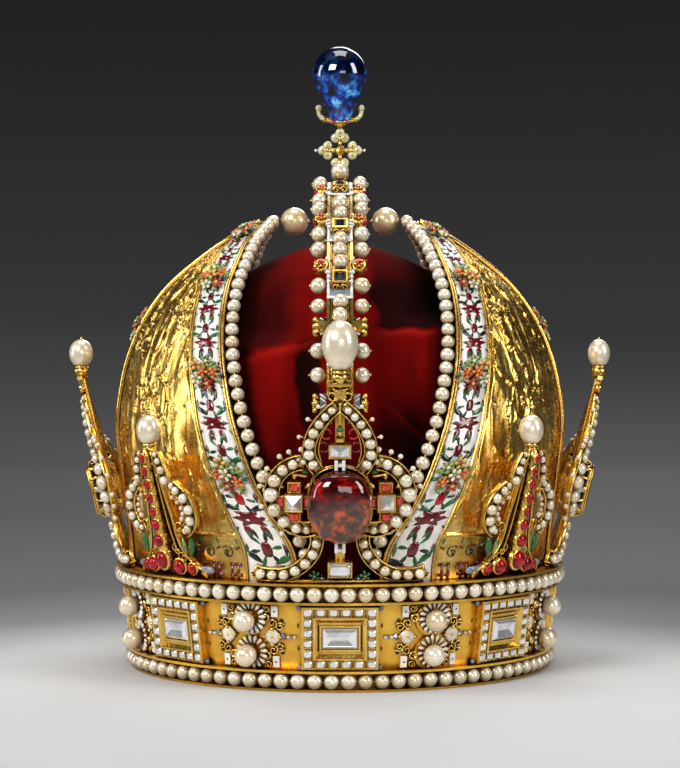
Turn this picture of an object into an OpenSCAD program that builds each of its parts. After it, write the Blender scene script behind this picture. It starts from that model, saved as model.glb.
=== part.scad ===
// Arched crown: circlet, lilies, two mitre shells over a cap, hoop and cross
// Origin under the middle of the circlet, front towards -Y, +Z up, millimetres

/* [Circlet] */
// Height of the circlet from foot to rim
band_h = 46.5; // [43:0.5:52]
// Outer radius of its wall at the foot
band_r = 91.75; // [84:0.25:100]
// How much wider the wall is at the rim
band_flare = 5.85; // [4.5:0.05:7]
// Thickness of the wall
band_wall = 2; // [1.6:0.1:2.4]
// Height of each gold lip
lip_h = 1; // [0.8:0.1:1.2]
// How far the lips stand out from the wall
lip_reach = 5.2; // [4.6:0.1:5.6]

/* [Rim pearls] */
// Diameter of the pearls in both rim rows
rim_pearl_d = 6.7; // [6.2:0.1:7.2]
// Free space between two rim pearls
rim_pearl_gap = 0.45; // [0.3:0.05:0.8]
// Diameter of the wire through the rim pearls
wire_d = 0.8; // [0.6:0.1:0.9]
// Diameter of the bore in each rim pearl
bore_d = 1.2; // [1.1:0.1:1.6]

/* [Plaques] */
// Width of a plaque
plaque_w = 32.6; // [29:0.1:36]
// Thickness of a plaque in its middle
plaque_t = 3.5; // [3:0.1:4.2]
// Angle from the front to the first diagonal plaque
diagonal_angle = 47.5; // [45:0.5:49]
// Width of the opening inside a plaque's row of small stones
window_w = 20.6; // [18:0.1:22]
// Height of the opening inside a plaque's row of small stones
window_h = 16.6; // [15:0.1:18]
// Width of a plaque's large stone
diamond_w = 15.5; // [13:0.1:17]
// Height of a plaque's large stone
diamond_h = 9.2; // [8:0.1:11]
// Small stones along each side of a plaque
border_stones = 6; // [4:1:8]

/* [Rosettes] */
// Diameter of a rosette pearl
rosette_pearl_d = 9.6; // [8.6:0.1:10.4]
// Diameter of a rosette's ring of petals
rosette_d = 14.4; // [13:0.1:15]
// Height between the middles of two stacked rosettes
rosette_pitch = 14.8; // [14.2:0.1:15]
// Thickness of a rosette's dish in front of the wall
rosette_t = 1.2; // [0.9:0.1:1.6]

/* [Lilies] */
// Lean of the lilies outward
lily_lean = 13.9; // [11:0.1:15]
// Thickness of a lily's plate
lily_t = 1.6; // [1.2:0.1:2]
// Height of a large lily without its pearl
large_lily_h = 89; // [80:0.5:96]
// Half width of a large lily
large_lily_w = 34; // [30:0.5:37]
// Height of a small lily without its pearl
small_lily_h = 57; // [52:0.5:62]
// Half width of a small lily
small_lily_w = 26; // [23:0.5:28]
// Diameter of the round beds under the lilies' pearls
lily_bead_d = 4.8; // [4:0.1:5.4]
// Width of the front lily's pear-shaped pearl
front_pearl_w = 14.4; // [13:0.1:16]
// Height of the front lily's pear-shaped pearl
front_pearl_h = 22; // [19:0.1:24]
// Width of the pearls on the other lilies
lily_pearl_w = 10.8; // [9:0.1:12]
// Height of the pearls on the other lilies
lily_pearl_h = 13.2; // [11:0.1:15]
// How much one half of these pearls is wider than the other: the front pearl is widest at its upper half
pearl_taper = 0.14; // [0:0.01:0.2]
// Width of the front red stone
red_stone_w = 26; // [23:0.5:28]
// Height of the front red stone
red_stone_h = 31; // [28:0.5:33]
// Depth of the front red stone
red_stone_t = 13; // [10:0.5:16]
// Width of the large stones of the other lilies
side_stone_w = 18; // [15:0.5:20]
// Height of the large stones of the other lilies
side_stone_h = 21; // [18:0.5:24]
// Depth of the large stones of the other lilies
side_stone_t = 8; // [6:0.5:10]

/* [Mitre shells] */
// Height of a shell from foot to tip
mitre_h = 160.5; // [150:0.5:170]
// Half the widest gap between the two shells
mitre_gap = 50; // [46:0.5:54]
// Thickness of a shell
mitre_wall = 1.4; // [1.2:0.1:1.6]
// How far a shell's foot reaches down into the circlet
mitre_foot = 4.5; // [3:0.5:8]
// Width of the moulding along a shell's edge
rail_w = 2.6; // [2:0.1:3]
// Height of the moulding above the shell
rail_h = 1.2; // [0.8:0.1:1.4]
// Width of the bed for an edge's enamel band, at the shell's tip
bed_w = 12.8; // [11:0.1:13.4]
// Width of the same bed at the shell's foot
bed_foot_w = 21; // [16:0.5:22]
// Half width of the bed for a side's enamel band
side_bed_w = 6.4; // [5.4:0.1:7]
// Width of the thin moulding between bed and relief
thin_rail_w = 1; // [0.8:0.1:1.2]
// Height of the cast relief
relief_h = 1.6; // [1:0.1:2]
// Thickness of an enamel band
enamel_t = 0.6; // [0.5:0.1:0.7]
// Diameter of the pearls along the shells' edges
edge_pearl_d = 6; // [5.4:0.1:6.4]
// Diameter of the pearls at the shells' tips
tip_pearl_d = 12.8; // [11:0.1:13]

/* [Hoop] */
// Radius of the hoop's middle line beyond the circlet's foot
arch_overhang = 22.25; // [21:0.25:24]
// Height of the hoop's centre above the rim
arch_rise = 57.5; // [55:0.5:60]
// Width of the hoop's band
arch_w = 11; // [10:0.1:12]
// Thickness of the hoop's band
arch_t = 3; // [2.5:0.1:3.5]
// Angle from the top at which the hoop ends
arch_end = 79; // [77:0.5:80]
// Diameter of the pearls on the hoop's middle
arch_pearl_d = 6.6; // [6:0.1:7]
// Width of the longest pearl on each half of the hoop
long_pearl_w = 7.2; // [6.6:0.1:7.6]
// Length of that pearl along the hoop
long_pearl_l = 8.6; // [7.8:0.1:9.2]
// Diameter of the pearls beside the hoop
side_pearl_d = 7; // [6.4:0.1:7.2]
// Diameter of the pearl before the cross
top_pearl_d = 8.4; // [7.8:0.1:8.8]
// Height of the mouldings along the hoop's edges
arch_rail_h = 0.8; // [0.6:0.1:1]

/* [Cross and top stone] */
// Distance from the cross's middle to the end of an arm
cross_arm = 8.6; // [7.6:0.1:9.6]
// Height of the cross from the hoop to its neck's top
cross_h = 27; // [25:0.5:29]
// Height of the blue stone
blue_stone_h = 34; // [30:0.5:36]
// Greatest width of the blue stone
blue_stone_w = 25.5; // [22:0.5:27]

/* [Cap] */
// Height of the cap's lower edge
cap_foot = 20; // [14:0.5:24]
// Height of the cap from edge to top
cap_h = 175; // [168:0.5:178]
// Thickness of the cap's cloth
cap_wall = 2; // [1.5:0.1:2.5]

/* [Hidden] */
// Clearance between two pieces that meet
fit = 0.15;
// Overlap of two forms of one piece
sink = 0.4;
$fn = 48;

// Circlet: derived sizes
band_lean = atan(band_flare / band_h);
row_h = rim_pearl_d + 2 * fit + 2 * lip_h;
clear_h = band_h - 2 * row_h;
middle_z = band_h / 2;
lower_row_z = row_h / 2;
upper_row_z = band_h - row_h / 2;
plaque_h = clear_h - 2 * fit - plaque_t * sin(band_lean) - 0.4;
rosette_angle = diagonal_angle / 2;
border_w = (plaque_w - window_w) / 2;
border_h = (plaque_h - window_h) / 2;

// Outer radius of the circlet's wall at a height
function wall_r(z) = band_r + band_flare * z / band_h;
// Radius of the circle through the middles of a row of rim pearls
function row_r(z) = wall_r(z) + fit + rim_pearl_d / 2;
// Number of rim pearls that fit a row
function row_count(z) = floor(2 * PI * row_r(z) / (rim_pearl_d + rim_pearl_gap));

// Lilies: derived sizes
lily_r = wall_r(band_h) + 1;
lily_z = band_h + fit;
stone_w = 0.39 * large_lily_h;
stone_floor = 0.6;

// Outer radius of a lily's plate at a height above its foot
function plate_r(w) = lily_r + w * tan(lily_lean);

// Mitre shells: derived sizes
mitre_z = band_h - mitre_foot;
rim_r = wall_r(mitre_z) - band_wall - rail_h - 2 * fit;
edge_band_w = rail_w + bed_w + thin_rail_w;
full_band_w = edge_band_w + side_bed_w + thin_rail_w + 2;

// Shell sections from foot to tip: height as a share of the shell's height,
// half width and half depth as shares of the foot's radius,
// half gap between the shells as a share of the widest half gap
SHELL = [
    [0.000, 1.000, 1.000, 0.32],
    [0.112, 1.018, 1.014, 0.38],
    [0.206, 1.040, 1.030, 0.56],
    [0.299, 1.060, 1.030, 0.72],
    [0.417, 1.080, 1.010, 0.86],
    [0.517, 1.065, 0.972, 0.94],
    [0.617, 1.026, 0.903, 0.99],
    [0.717, 0.954, 0.812, 1.00],
    [0.810, 0.842, 0.690, 0.965],
    [0.885, 0.698, 0.552, 0.89],
    [0.941, 0.566, 0.414, 0.82],
    [0.978, 0.450, 0.266, 0.74],
    [1.000, 0.380, 0.110, 0.68]
];
shell_rows = 24;

// Cap sections from edge to top: height as a share of the cap's height,
// radius as a share of the radius of its lower edge
CAP = [
    [0.000, 1.000],
    [0.114, 0.992],
    [0.229, 0.995],
    [0.400, 0.985],
    [0.571, 0.942],
    [0.714, 0.848],
    [0.800, 0.750],
    [0.869, 0.612],
    [0.926, 0.420],
    [0.971, 0.222],
    [1.000, 0.020]
];
cap_r = wall_r(cap_foot) - band_wall - 2 * fit;
// Folds of the cap: azimuth of the fold's foot, how far it turns on its way up,
// depth, half width in degrees
FOLDS = [
    [-18, 10, 8.0, 5],
    [14, -8, 8.0, 5],
    [34, -26, 4.0, 6],
    [-44, 14, 3.5, 9],
    [78, 6, 3.0, 12],
    [-84, -8, 3.0, 12],
    [128, 16, 4.0, 10],
    [166, -8, 5.0, 9],
    [-160, 12, 5.0, 9],
    [-124, -10, 3.5, 10]
];
// Hollows of the cap: azimuth, half width in degrees, then as shares of the cap's height
// the level of the lower edge and how far up it goes, and depth
HOLLOWS = [
    [-32, 20, 0.715, 0.20, 7],
    [36, 22, 0.765, 0.17, 8]
];
cap_sides = 54;
cap_rows = 13;

// Places on each half of the hoop, as angles from its top
HOOP_STONES = [15, 36.5, 52.6, 68];
HOOP_PEARLS = [32.8, 42, 45.3, 48.7, 58.8, 62.1];
long_pearl_angle = 28.2;
SIDE_PEARLS = [22.5, 27.7, 38.3, 43.5, 53.8, 59, 69.3, 74.5];
SIDE_STONES = [16.7, 33.2, 48.6, 64];
// Hoop: derived sizes
arch_z = band_h + arch_rise;
arch_r = band_r + arch_overhang;
arch_top_r = arch_r + arch_t / 2;
top_pearl_angle = 3.1;
top_seat = 2.4;
cross_z = arch_z + arch_top_r + 1.5;
neck_z = cross_z + cross_h;

// Smooth value in column c of a table, u from 0 at its first row to 1 at its last
function smooth(table, c, u) =
    let (
        n = len(table) - 1,
        i = min(floor(u * n), n - 1),
        f = u * n - i,
        p0 = table[max(i - 1, 0)][c],
        p1 = table[i][c],
        p2 = table[i + 1][c],
        p3 = table[min(i + 2, n)][c]
    )
    p1 + 0.5 * f * (p2 - p0 + f * (2 * p0 - 5 * p1 + 4 * p2 - p3 + f * (3 * (p1 - p2) + p3 - p0)));
function unit(v) = v / norm(v);
function flat(rows) = [for (row = rows) for (p = row) p];

// A point of the right shell: u runs up the shell, t is the angle round it from +X
function shell_a(u) = rim_r * smooth(SHELL, 1, u);
function shell_b(u) = rim_r * smooth(SHELL, 2, u);
function shell_edge(u) = acos(mitre_gap * smooth(SHELL, 3, u) / shell_a(u));
function shell_point(u, t) =
    [shell_a(u) * cos(t), shell_b(u) * sin(t), mitre_z + mitre_h * smooth(SHELL, 0, u)];
function shell_speed(u, t) = norm([shell_a(u) * sin(t), shell_b(u) * cos(t)]) * PI / 180;
function shell_normal(u, t) =
    let (
        across = [-shell_a(u) * sin(t), shell_b(u) * cos(t), 0],
        lower = max(u - 0.01, 0),
        upper = min(u + 0.01, 1),
        along = shell_point(upper, t) - shell_point(lower, t)
    )
    unit(cross(across, along));
// Angle at a distance s round the shell from its back edge
function shell_turn(u, s) =
    let (e = shell_edge(u), half = e - s / 2 / shell_speed(u, e)) e - s / shell_speed(u, half);
// Half the shell's girth, and the share of their width that its bands keep there
function half_girth(u) = shell_edge(u) * shell_speed(u, shell_edge(u) / 2);
function band_share(u) = min(1, half_girth(u) / full_band_w);
// Width of the bed for an edge's enamel band at the share u
function bed_at(u) = bed_w + (bed_foot_w - bed_w) * pow(1 - u, 2.2);
// A point at height h above the shell
function raised(u, t, h) = shell_point(u, t) + h * shell_normal(u, t);

// Height of the cast relief: leaf shapes on winding stems
function relief(u, f) =
    let (stem = sin(f * 360 + 300 * u), leaf = cos(u * 1900 + 140 * stem))
    relief_h * (0.35 + 0.35 * leaf + 0.3 * stem * sin(u * 1400));

// Stations across half a shell, from its edge to its middle: angle and height
function half_stations(u) =
    let (
        k = band_share(u),
        step = 0.12 * k,
        bed = rail_w * k,
        bed_end = (rail_w + bed_at(u)) * k,
        field = bed_end + thin_rail_w * k + step,
        girth = half_girth(u),
        side = girth - (side_bed_w + thin_rail_w) * k
    )
    [
        [shell_turn(u, 0), rail_h],
        [shell_turn(u, bed), rail_h],
        [shell_turn(u, bed + step), 0],
        [shell_turn(u, bed_end), 0],
        [shell_turn(u, bed_end + step), rail_h],
        [shell_turn(u, field - step), rail_h],
        for (f = [0:0.2:1])
            [
                shell_edge(u) * (1 - (field + (side - field) * f) / girth),
                f == 0 || f == 1 ? 0.2 : 0.2 + relief(u, f)
            ],
        [shell_edge(u) * (1 - (side + step) / girth), rail_h],
        [shell_edge(u) * (1 - (side + thin_rail_w * k) / girth), rail_h],
        [shell_edge(u) * (1 - (side + thin_rail_w * k + step) / girth), 0]
    ];
// Stations across the whole shell, from its front edge to its back edge
function stations(u) =
    let (half = half_stations(u))
    [
        for (s = half) [-s[0], s[1]],
        [0, 0],
        for (i = [len(half) - 1:-1:0]) half[i]
    ];

// Closed solid between an outer and an inner grid of points of the same shape
module slab(outer, inner) {
    rows = len(outer);
    cols = len(outer[0]);
    count = rows * cols;
    function at(i, j, deep) = deep * count + i * cols + j;
    skin = [
        for (i = [0:rows - 2], j = [0:cols - 2])
            each [
                [at(i, j, 0), at(i + 1, j, 0), at(i + 1, j + 1, 0)],
                [at(i, j, 0), at(i + 1, j + 1, 0), at(i, j + 1, 0)],
                [at(i, j, 1), at(i + 1, j + 1, 1), at(i + 1, j, 1)],
                [at(i, j, 1), at(i, j + 1, 1), at(i + 1, j + 1, 1)]
            ]
    ];
    ends = [
        for (j = [0:cols - 2])
            each [
                [at(0, j, 0), at(0, j + 1, 0), at(0, j + 1, 1)],
                [at(0, j, 0), at(0, j + 1, 1), at(0, j, 1)],
                [at(rows - 1, j, 0), at(rows - 1, j + 1, 1), at(rows - 1, j + 1, 0)],
                [at(rows - 1, j, 0), at(rows - 1, j, 1), at(rows - 1, j + 1, 1)]
            ]
    ];
    sides = [
        for (i = [0:rows - 2])
            each [
                [at(i, 0, 0), at(i + 1, 0, 1), at(i + 1, 0, 0)],
                [at(i, 0, 0), at(i, 0, 1), at(i + 1, 0, 1)],
                [at(i, cols - 1, 0), at(i + 1, cols - 1, 0), at(i + 1, cols - 1, 1)],
                [at(i, cols - 1, 0), at(i + 1, cols - 1, 1), at(i, cols - 1, 1)]
            ]
    ];
    polyhedron(points = concat(flat(outer), flat(inner)), faces = concat(skin, ends, sides));
}

// Closed solid through rings of points, all with the same number of points
module rings_solid(rings) {
    n = len(rings[0]);
    last = (len(rings) - 1) * n;
    sides = [
        for (i = [0:len(rings) - 2], j = [0:n - 1])
            let (k = (j + 1) % n)
            each [
                [i * n + j, (i + 1) * n + j, (i + 1) * n + k],
                [i * n + j, (i + 1) * n + k, i * n + k]
            ]
    ];
    foot = [for (j = [1:n - 2]) [0, j, j + 1]];
    top = [for (j = [1:n - 2]) [last, last + j + 1, last + j]];
    polyhedron(points = flat(rings), faces = concat(sides, foot, top));
}

// Puts children on the circlet's wall: local Z points out, local Y up the wall
module on_wall(az, z) {
    rotate([0, 0, az])
        translate([0, -wall_r(z), z])
            rotate([90 + band_lean, 0, 0])
                children();
}

// Puts children on a lily's plate at u beside its middle and w above its foot
module on_lily(u, w, lift = 0) {
    rotate([0, 0, asin(u / plate_r(w))])
        translate([0, -plate_r(w), lily_z + w])
            rotate([90 + lily_lean, 0, 0])
                translate([0, 0, lift])
                    children();
}

// Puts children on the hoop at an angle from its top, local Z out, local Y to the front
module on_arch(angle, r) {
    translate([0, 0, arch_z])
        rotate([angle, 0, 0])
            translate([0, 0, r])
                children();
}

// Octagonal outline of a cut stone
function cut_outline(w, h, z) =
    let (x = w / 2, y = h / 2, c = 0.16 * min(w, h))
    [
        [x, -y + c, z], [x, y - c, z], [x - c, y, z], [-x + c, y, z],
        [-x, y - c, z], [-x, -y + c, z], [-x + c, -y, z], [x - c, -y, z]
    ];
// Step-cut stone with its girdle at z = 0 and its table at z = crown
module cut_stone(w, h, crown, pavilion) {
    rings_solid([
        cut_outline(0.5 * w, 0.4 * h, -pavilion),
        cut_outline(0.94 * w, 0.92 * h, -0.3),
        cut_outline(w, h, 0),
        cut_outline(0.9 * w, 0.88 * h, 0.55 * crown),
        cut_outline(0.72 * w, 0.66 * h, crown)
    ]);
}

// Drop-shaped pearl standing on z = 0: its lower half is the wider one where taper is above 0
module pear_pearl(w, h, taper) {
    outline = [
        for (i = [0:14])
            let (a = i * 180 / 14)
            [i == 0 || i == 14 ? 0 : w / 2 * sin(a) * (0.98 + taper * cos(a)), h / 2 * (1 - cos(a))]
    ];
    rotate_extrude() polygon(outline);
}

// Circlet
module circlet_band() {
    color("goldenrod")
        difference() {
            union() {
                rotate_extrude($fn = 180)
                    polygon([
                        [wall_r(0) - band_wall, 0],
                        [wall_r(0) + lip_reach, 0],
                        [wall_r(0) + lip_reach, lip_h],
                        [wall_r(lip_h), lip_h],
                        [wall_r(row_h - lip_h), row_h - lip_h],
                        [wall_r(row_h) + lip_reach, row_h - lip_h],
                        [wall_r(row_h) + lip_reach, row_h],
                        [wall_r(row_h), row_h],
                        [wall_r(band_h - row_h), band_h - row_h],
                        [wall_r(band_h - row_h) + lip_reach, band_h - row_h],
                        [wall_r(band_h - row_h) + lip_reach, band_h - row_h + lip_h],
                        [wall_r(band_h - row_h + lip_h), band_h - row_h + lip_h],
                        [wall_r(band_h - lip_h), band_h - lip_h],
                        [wall_r(band_h) + lip_reach, band_h - lip_h],
                        [wall_r(band_h) + lip_reach, band_h],
                        [wall_r(band_h) - band_wall, band_h]
                    ]);
                each_rosette() rosette_cup();
            }
            each_rosette() translate([0, 0, rosette_t + rosette_pearl_d / 2])
                sphere(d = rosette_pearl_d + 2 * fit);
        }
}
module each_rosette() {
    for (az = [-4:3], side = [-1, 1])
        on_wall(
            rosette_azimuth(az),
            middle_z + side * rosette_pitch / 2
        )
            children();
}
// Azimuth of a pair of rosettes, halfway between two plaques
function rosette_azimuth(i) =
    let (list = [rosette_angle, (90 + diagonal_angle) / 2])
    i >= 0 ? quarter(i, list) : -quarter(-1 - i, list);
function quarter(i, list) = i < 2 ? list[i] : 180 - list[3 - i];
module rosette_cup() {
    translate([0, 0, -band_wall / 2]) cylinder(d = rosette_d, h = rosette_t + band_wall / 2);
    cylinder(d = 0.62 * rosette_pearl_d, h = rosette_t + 0.16 * rosette_pearl_d);
}

// Rim pearls
module pearl_row(z) {
    count = row_count(z);
    color("ivory")
        for (i = [0:count - 1])
            rotate([0, 0, (i + 0.5) * 360 / count])
                translate([0, -row_r(z), z])
                    difference() {
                        sphere(d = rim_pearl_d);
                        rotate([0, 90, 0]) cylinder(d = bore_d, h = rim_pearl_d + 2, center = true);
                    }
}
module pearl_wire(z) {
    color("gold")
        translate([0, 0, z])
            rotate_extrude($fn = 180)
                translate([row_r(z), 0]) circle(d = wire_d, $fn = 24);
}
module rosette_pearls() {
    color("ivory")
        each_rosette() translate([0, 0, rosette_t + rosette_pearl_d / 2])
            sphere(d = rosette_pearl_d);
}

// Plaques
module plaque(az) {
    color("gold")
        difference() {
            on_wall(az, middle_z) plaque_front_form();
            cylinder(h = band_h, r1 = wall_r(0) + fit, r2 = wall_r(band_h) + fit, $fn = 180);
        }
}
module plaque_front_form() {
    difference() {
        union() {
            translate([-plaque_w / 2, -plaque_h / 2, -band_wall])
                cube([plaque_w, plaque_h, band_wall + plaque_t - 0.8]);
            each_border_place() translate([0, 0, plaque_t - 1 + 0.4])
                cube([0.8 * plaque_w / border_stones, 0.8 * plaque_h / border_stones, 0.8], center = true);
            translate([-window_w / 2 - 0.6, -window_h / 2 - 0.6, 0])
                cube([window_w + 1.2, window_h + 1.2, plaque_t]);
        }
        hull() {
            translate([-diamond_w / 2 - fit, -diamond_h / 2 - fit, plaque_t - 2.2])
                cube([diamond_w + 2 * fit, diamond_h + 2 * fit, 0.1]);
            translate([-window_w / 2 + 0.4, -window_h / 2 + 0.4, plaque_t])
                cube([window_w - 0.8, window_h - 0.8, 0.1]);
        }
        translate([-diamond_w / 2 - fit, -diamond_h / 2 - fit, plaque_t - 3])
            cube([diamond_w + 2 * fit, diamond_h + 2 * fit, 3]);
    }
}
module each_border_place() {
    last = border_stones - 1;
    for (i = [0:last], j = [0:last])
        if (i == 0 || i == last || j == 0 || j == last)
            translate([
                (i / last - 0.5) * (plaque_w - 0.9 * border_w),
                (j / last - 0.5) * (plaque_h - 0.9 * border_h),
                0
            ])
                children();
}
module plaque_diamond(az) {
    color("whitesmoke")
        on_wall(az, middle_z)
            translate([0, 0, plaque_t - 1.6])
                cut_stone(diamond_w, diamond_h, 1.4, 1.4 - 2 * fit);
}

// Large lilies
module lily_plate(h) {
    intersection() {
        translate([0, 0, lily_z])
            rotate_extrude()
                polygon([
                    [plate_r(0) - lily_t, 0],
                    [plate_r(0), 0],
                    [plate_r(h), h],
                    [plate_r(h) - lily_t, h]
                ]);
        translate([0, 0, lily_z])
            rotate([90, 0, 0])
                linear_extrude(height = 2 * band_r)
                    children();
    }
}
// Two round arcs that meet in a point: half width w, half height h
module ogive(w, h) {
    r = (w * w + h * h) / (2 * w);
    intersection() {
        translate([r - w, 0]) circle(r = r);
        translate([w - r, 0]) circle(r = r);
    }
}
lobe_r = 0.4 * large_lily_w;
lobe_u = large_lily_w - lobe_r - lily_bead_d / 2;
lobe_w = 0.42 * large_lily_h;
ogive_w = 0.63 * large_lily_h;
module large_lily_outline() {
    for (side = [-1, 1])
        translate([side * lobe_u, lobe_w]) circle(r = lobe_r + lily_bead_d / 2);
    translate([0, stone_w]) circle(r = red_stone_h / 2 + 1);
    translate([0, ogive_w]) ogive(0.45 * large_lily_w, 0.24 * large_lily_h);
    polygon([
        [-large_lily_w, 0], [large_lily_w, 0], [large_lily_w, 0.035 * large_lily_h],
        [0.4 * large_lily_w, 0.1 * large_lily_h], [0.34 * large_lily_w, 0.3 * large_lily_h],
        [-0.34 * large_lily_w, 0.3 * large_lily_h], [-0.4 * large_lily_w, 0.1 * large_lily_h],
        [-large_lily_w, 0.035 * large_lily_h]
    ]);
    translate([-0.06 * large_lily_w, 0.8 * large_lily_h])
        square([0.12 * large_lily_w, 0.2 * large_lily_h - sink]);
    for (side = [-1, 1])
        translate([side * 0.12 * large_lily_w, 0.91 * large_lily_h]) circle(r = 0.1 * large_lily_w);
}
module bead_arc(r, from, to) {
    rotate([0, 0, from])
        rotate_extrude(angle = to - from)
            translate([r, 0]) circle(d = lily_bead_d, $fn = 24);
}
module large_lily(az) {
    color("gold")
        rotate([0, 0, az]) {
            lily_plate(large_lily_h) large_lily_outline();
            on_lily(lobe_u, lobe_w, lily_bead_d / 4) bead_arc(lobe_r, -105, 75);
            on_lily(-lobe_u, lobe_w, lily_bead_d / 4) bead_arc(lobe_r, 105, 285);
            for (side = [-1, 1], row = [0:6])
                on_lily(
                    side * 0.36 * large_lily_w * cos(-20 + 16 * row),
                    ogive_w + 0.19 * large_lily_h * sin(-20 + 16 * row),
                    lily_bead_d / 4
                )
                    cylinder(d = 0.9 * lily_bead_d, h = lily_bead_d, center = true);
            for (side = [-1, 1], row = [0:3])
                on_lily(side * large_lily_w * (0.45 + 0.16 * row), 0.05 * large_lily_h, lily_bead_d / 4)
                    cylinder(d = 0.9 * lily_bead_d, h = lily_bead_d, center = true);
            on_lily(0, 0.91 * large_lily_h, -lily_t / 2) cylinder(r = 0.09 * large_lily_w, h = 4);
            lily_socket(large_lily_h);
            on_lily(0, stone_w, -sink) children();
        }
}
// Round seat for the pearl on a lily's tip
module lily_socket(h) {
    translate([0, -plate_r(h) + lily_t / 2, lily_z + h - 2])
        cylinder(d1 = 1.6 * lily_t, d2 = 3 * lily_t, h = 2);
}
// Collar round the front lily's oval stone
module oval_mount() {
    difference() {
        linear_extrude(height = 0.4 * red_stone_t) oval(red_stone_w + 3, red_stone_h + 3);
        translate([0, 0, sink + stone_floor])
            linear_extrude(height = red_stone_t) oval(red_stone_w + 2 * fit, red_stone_h + 2 * fit);
    }
}
// Box round another large lily's cut stone
module square_mount() {
    difference() {
        linear_extrude(height = side_stone_t) cut_shape(side_stone_w + 3, side_stone_h + 3);
        translate([0, 0, sink + stone_floor])
            linear_extrude(height = side_stone_t)
                cut_shape(side_stone_w + 2 * fit, side_stone_h + 2 * fit);
    }
}
module cut_shape(w, h) {
    polygon([for (p = cut_outline(w, h, 0)) [p[0], p[1]]]);
}
module oval(w, h) {
    polygon([for (i = [0:27]) oval_point(w, h, i * 360 / 28)]);
}
// Point of a rounded oval, squarer than an ellipse
function oval_point(w, h, a) =
    [
        w / 2 * sign(cos(a)) * pow(abs(cos(a)), 0.8),
        h / 2 * sign(sin(a)) * pow(abs(sin(a)), 0.8)
    ];

// Small lilies
module small_lily_outline() {
    w = small_lily_w;
    h = small_lily_h;
    for (side = [-1, 1]) {
        translate([side * 0.62 * w, 0.56 * h]) circle(r = 0.38 * w);
        translate([side * 0.4 * w, 0.72 * h]) circle(r = 0.24 * w);
    }
    translate([0, 0.5 * h]) ogive(0.36 * w, 0.44 * h);
    polygon([
        [-0.8 * w, 0], [0.8 * w, 0], [0.8 * w, 0.06 * h],
        [0.36 * w, 0.2 * h], [0.3 * w, 0.5 * h], [-0.3 * w, 0.5 * h],
        [-0.36 * w, 0.2 * h], [-0.8 * w, 0.06 * h]
    ]);
    translate([-0.06 * w, 0.8 * h]) square([0.12 * w, 0.2 * h - sink]);
}
module small_lily(az) {
    color("gold")
        rotate([0, 0, az]) {
            lily_plate(small_lily_h) small_lily_outline();
            for (side = [-1, 1], row = [0:4])
                on_lily(
                    side * small_lily_w * (0.62 - 0.27 * cos(-20 + 55 * row)),
                    small_lily_h * (0.6 + 0.13 * sin(-20 + 55 * row)),
                    lily_bead_d / 5
                )
                    cylinder(d = 0.75 * lily_bead_d, h = lily_bead_d, center = true);
            for (row = [0:7])
                on_lily(0, small_lily_h * (0.12 + 0.11 * row), lily_bead_d / 5)
                    cylinder(d = lily_bead_d * (1 - 0.06 * row), h = lily_bead_d, center = true, $fn = 8);
            lily_socket(small_lily_h);
        }
}

// Pearls on the lilies
module lily_pearl(az, h, pearl_w, pearl_h, taper = pearl_taper) {
    color("ivory")
        rotate([0, 0, az])
            translate([0, -plate_r(h) + lily_t / 2, lily_z + h + fit])
                pear_pearl(pearl_w, pearl_h, taper);
}

// Large stones of the large lilies
module front_red_stone() {
    bumps = [for (i = [0:15]) 1 + 0.03 * sin(2 * i * 22.5 + 40) + 0.02 * sin(3 * i * 22.5)];
    levels = [[0.86, 0], [0.98, 0.2], [1, 0.42], [0.93, 0.66], [0.74, 0.86], [0.42, 0.98]];
    color("firebrick")
        on_lily(0, stone_w, stone_floor + fit)
            rings_solid([
                for (level = levels)
                    [
                        for (i = [0:15])
                            let (p = oval_point(red_stone_w, red_stone_h, i * 22.5))
                            [
                                p[0] * level[0] * bumps[i],
                                p[1] * level[0] * bumps[(i + 5) % 16],
                                red_stone_t * level[1]
                            ] * 0.95
                    ]
            ]);
}
module lily_diamond(az) {
    color("darkslategray")
        rotate([0, 0, az])
            on_lily(0, stone_w, stone_floor + fit + 0.45 * side_stone_t)
                cut_stone(side_stone_w, side_stone_h, 0.5 * side_stone_t, 0.45 * side_stone_t);
}

// Mitre shells
function rows_of(n) = [for (i = [0:n]) i / n];
module mitre_shell() {
    color("goldenrod")
        slab(
            [for (u = rows_of(shell_rows)) [for (s = stations(u)) raised(u, s[0], s[1])]],
            [for (u = rows_of(shell_rows)) [for (s = stations(u)) raised(u, s[0], -mitre_wall)]]
        );
}
// Enamel band along an edge: side is 1 at the back and -1 at the front
module edge_enamel(side) {
    color("white")
        slab(
            [for (u = rows_of(shell_rows)) if (u < 0.96) edge_enamel_row(u, side, fit + enamel_t)],
            [for (u = rows_of(shell_rows)) if (u < 0.96) edge_enamel_row(u, side, fit)]
        );
}
function edge_enamel_row(u, side, h) =
    [
        for (j = [0:3])
            let (
                k = band_share(u),
                f = side < 0 ? j / 3 : 1 - j / 3,
                s = k * (rail_w + 0.12 + fit + (bed_at(u) - 0.12 - 2 * fit) * f)
            )
            raised(u, side * shell_turn(u, s), h)
    ];
module side_enamel() {
    rows = [for (u = rows_of(shell_rows)) if (u < 0.96) u];
    color("white")
        slab(
            [for (u = rows) side_enamel_row(u, fit + enamel_t)],
            [for (u = rows) side_enamel_row(u, fit)]
        );
}
function side_enamel_row(u, h) =
    [
        for (f = [-1:1])
            raised(u, f * shell_edge(u) * (side_bed_w - 2 * fit - 0.2) * band_share(u) / half_girth(u), h)
    ];

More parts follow.
